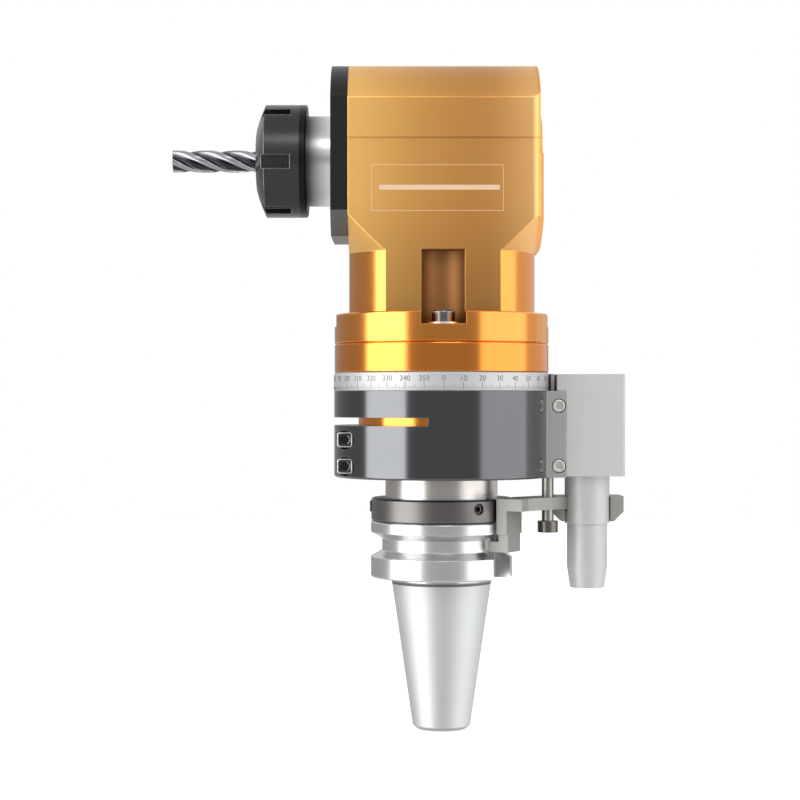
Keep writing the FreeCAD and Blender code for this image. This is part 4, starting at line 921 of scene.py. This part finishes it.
def border():
    """Thin frame round the blank field."""
    shape = bmesh.new()
    bmesh.ops.create_grid(shape, x_segments=1, y_segments=1, size=0.5)
    bmesh.ops.scale(shape, vec=(*FIELD_SIZE, 1), verts=shape.verts)
    field = shape.faces[:]
    bmesh.ops.inset_individual(shape, faces=field, thickness=FIELD_LINE)
    bmesh.ops.delete(shape, geom=field, context="FACES")
    bmesh.ops.solidify(shape, geom=shape.faces[:], thickness=INK)
    on_face(shape, FIELD_PLACE)
    finished("field_border", shape, "pale_line", "head")


def rule():
    """Pale rule across the blank field."""
    shape = bmesh.new()
    bmesh.ops.create_cube(shape, size=1)
    bmesh.ops.scale(shape, vec=(*RULE_SIZE, 2 * INK), verts=shape.verts)
    upright = [e for e in shape.edges if abs(e.verts[0].co.z - e.verts[1].co.z) > INK]
    bmesh.ops.bevel(
        shape, geom=upright, offset=RULE_CORNER, segments=3, profile=0.5, affect="EDGES", material=-1,
    )
    on_face(shape, RULE_PLACE)
    finished("field_rule", shape, "pale_line", "head")


border()
rule()


# %% [markdown]
# ## Washers and painted highlights round two sockets
# A bright washer shows round the foot of each flange bolt. A full spin of one small outline makes a
# washer, and a second spin with duplicates sets it in all four pockets. Round the mouths of the
# sockets of the two clamp screws, a thin bright frame with rounded corners is a painted highlight
# standing for the light on their chamfers.

# %% Washers
BOLT_HEAD_R, BOLT_HEAD = 5.0, 6.0
bolts_high = box_mm("flange_bolts")[1]
BOLT_CIRCLE = bolts_high.x - BOLT_HEAD_R
POCKET_FLOOR = bolts_high.z - BOLT_HEAD
WASHER_IN, WASHER_OUT, WASHER_THICK = BOLT_HEAD_R + 0.1, 7.4, 0.9
WASHER_SUNK = 0.08
WASHER_STEPS = 48
finishes["washer_steel"] = metal(
    "washer_steel", tones=((0.9, 0.9, 0.89), (0.8, 0.8, 0.79)), worn=(0.95, 0.95, 0.95), rough=0.3,
    depth=0.2,
)


def washers():
    """Four plain washers on the pocket floors."""
    shape = bmesh.new()
    section = ((WASHER_IN, 0), (WASHER_OUT, 0), (WASHER_OUT, WASHER_THICK), (WASHER_IN, WASHER_THICK))
    corners = [shape.verts.new((r, 0, z)) for r, z in section]
    outline = [shape.edges.new((corners[i - 1], corners[i])) for i in range(len(corners))]
    bmesh.ops.spin(
        shape, geom=corners + outline, cent=(0, 0, 0), axis=(0, 0, 1),
        angle=2 * math.pi, steps=WASHER_STEPS, use_merge=True,
    )
    bmesh.ops.translate(shape, verts=shape.verts, vec=(BOLT_CIRCLE, 0, POCKET_FLOOR - WASHER_SUNK))
    round_the_shank(shape, 4)
    finished("pocket_washers", shape, "washer_steel", "head")


washers()

# %% Painted highlights round the clamp screws' sockets
MOUTH_HALF, MOUTH_CORNER = 3.3, 1.25
MOUTH_LINE, MOUTH_THICK = 0.55, 0.08
screws_low, screws_high = box_mm("clamp_screws")
SCREW_X = (screws_low.x + screws_high.x) / 2
SCREW_HEAD_R = (screws_high.x - screws_low.x) / 2
MOUTH_Y = screws_low.y - MOUTH_THICK + SUNK


def worn_mouths():
    """Bright rounded frames round the two clamp screws' sockets, a painted highlight on their chamfers."""
    shape = bmesh.new()
    for height in (screws_low.z + SCREW_HEAD_R, screws_high.z - SCREW_HEAD_R):
        before = shape.verts[:]
        square = bmesh.ops.create_grid(shape, x_segments=1, y_segments=1, size=MOUTH_HALF)["verts"]
        bmesh.ops.bevel(
            shape, geom=square, offset=MOUTH_CORNER, segments=4, profile=0.5,
            affect="VERTICES", material=-1,
        )
        middle = [f for f in shape.faces if f.verts[0] not in before]
        bmesh.ops.inset_individual(shape, faces=middle, thickness=MOUTH_LINE)
        bmesh.ops.delete(shape, geom=middle, context="FACES")
        fresh = [v for v in shape.verts if v not in before]
        bmesh.ops.rotate(shape, verts=fresh, cent=(0, 0, 0), matrix=STAND_UP)
        bmesh.ops.translate(shape, verts=fresh, vec=(SCREW_X, MOUTH_Y, height))
    bmesh.ops.solidify(shape, geom=shape.faces[:], thickness=MOUTH_THICK)
    # painted highlight: bright steel frames in front of the screw heads
    finished("worn_mouths", shape, "washer_steel", "ring")


worn_mouths()
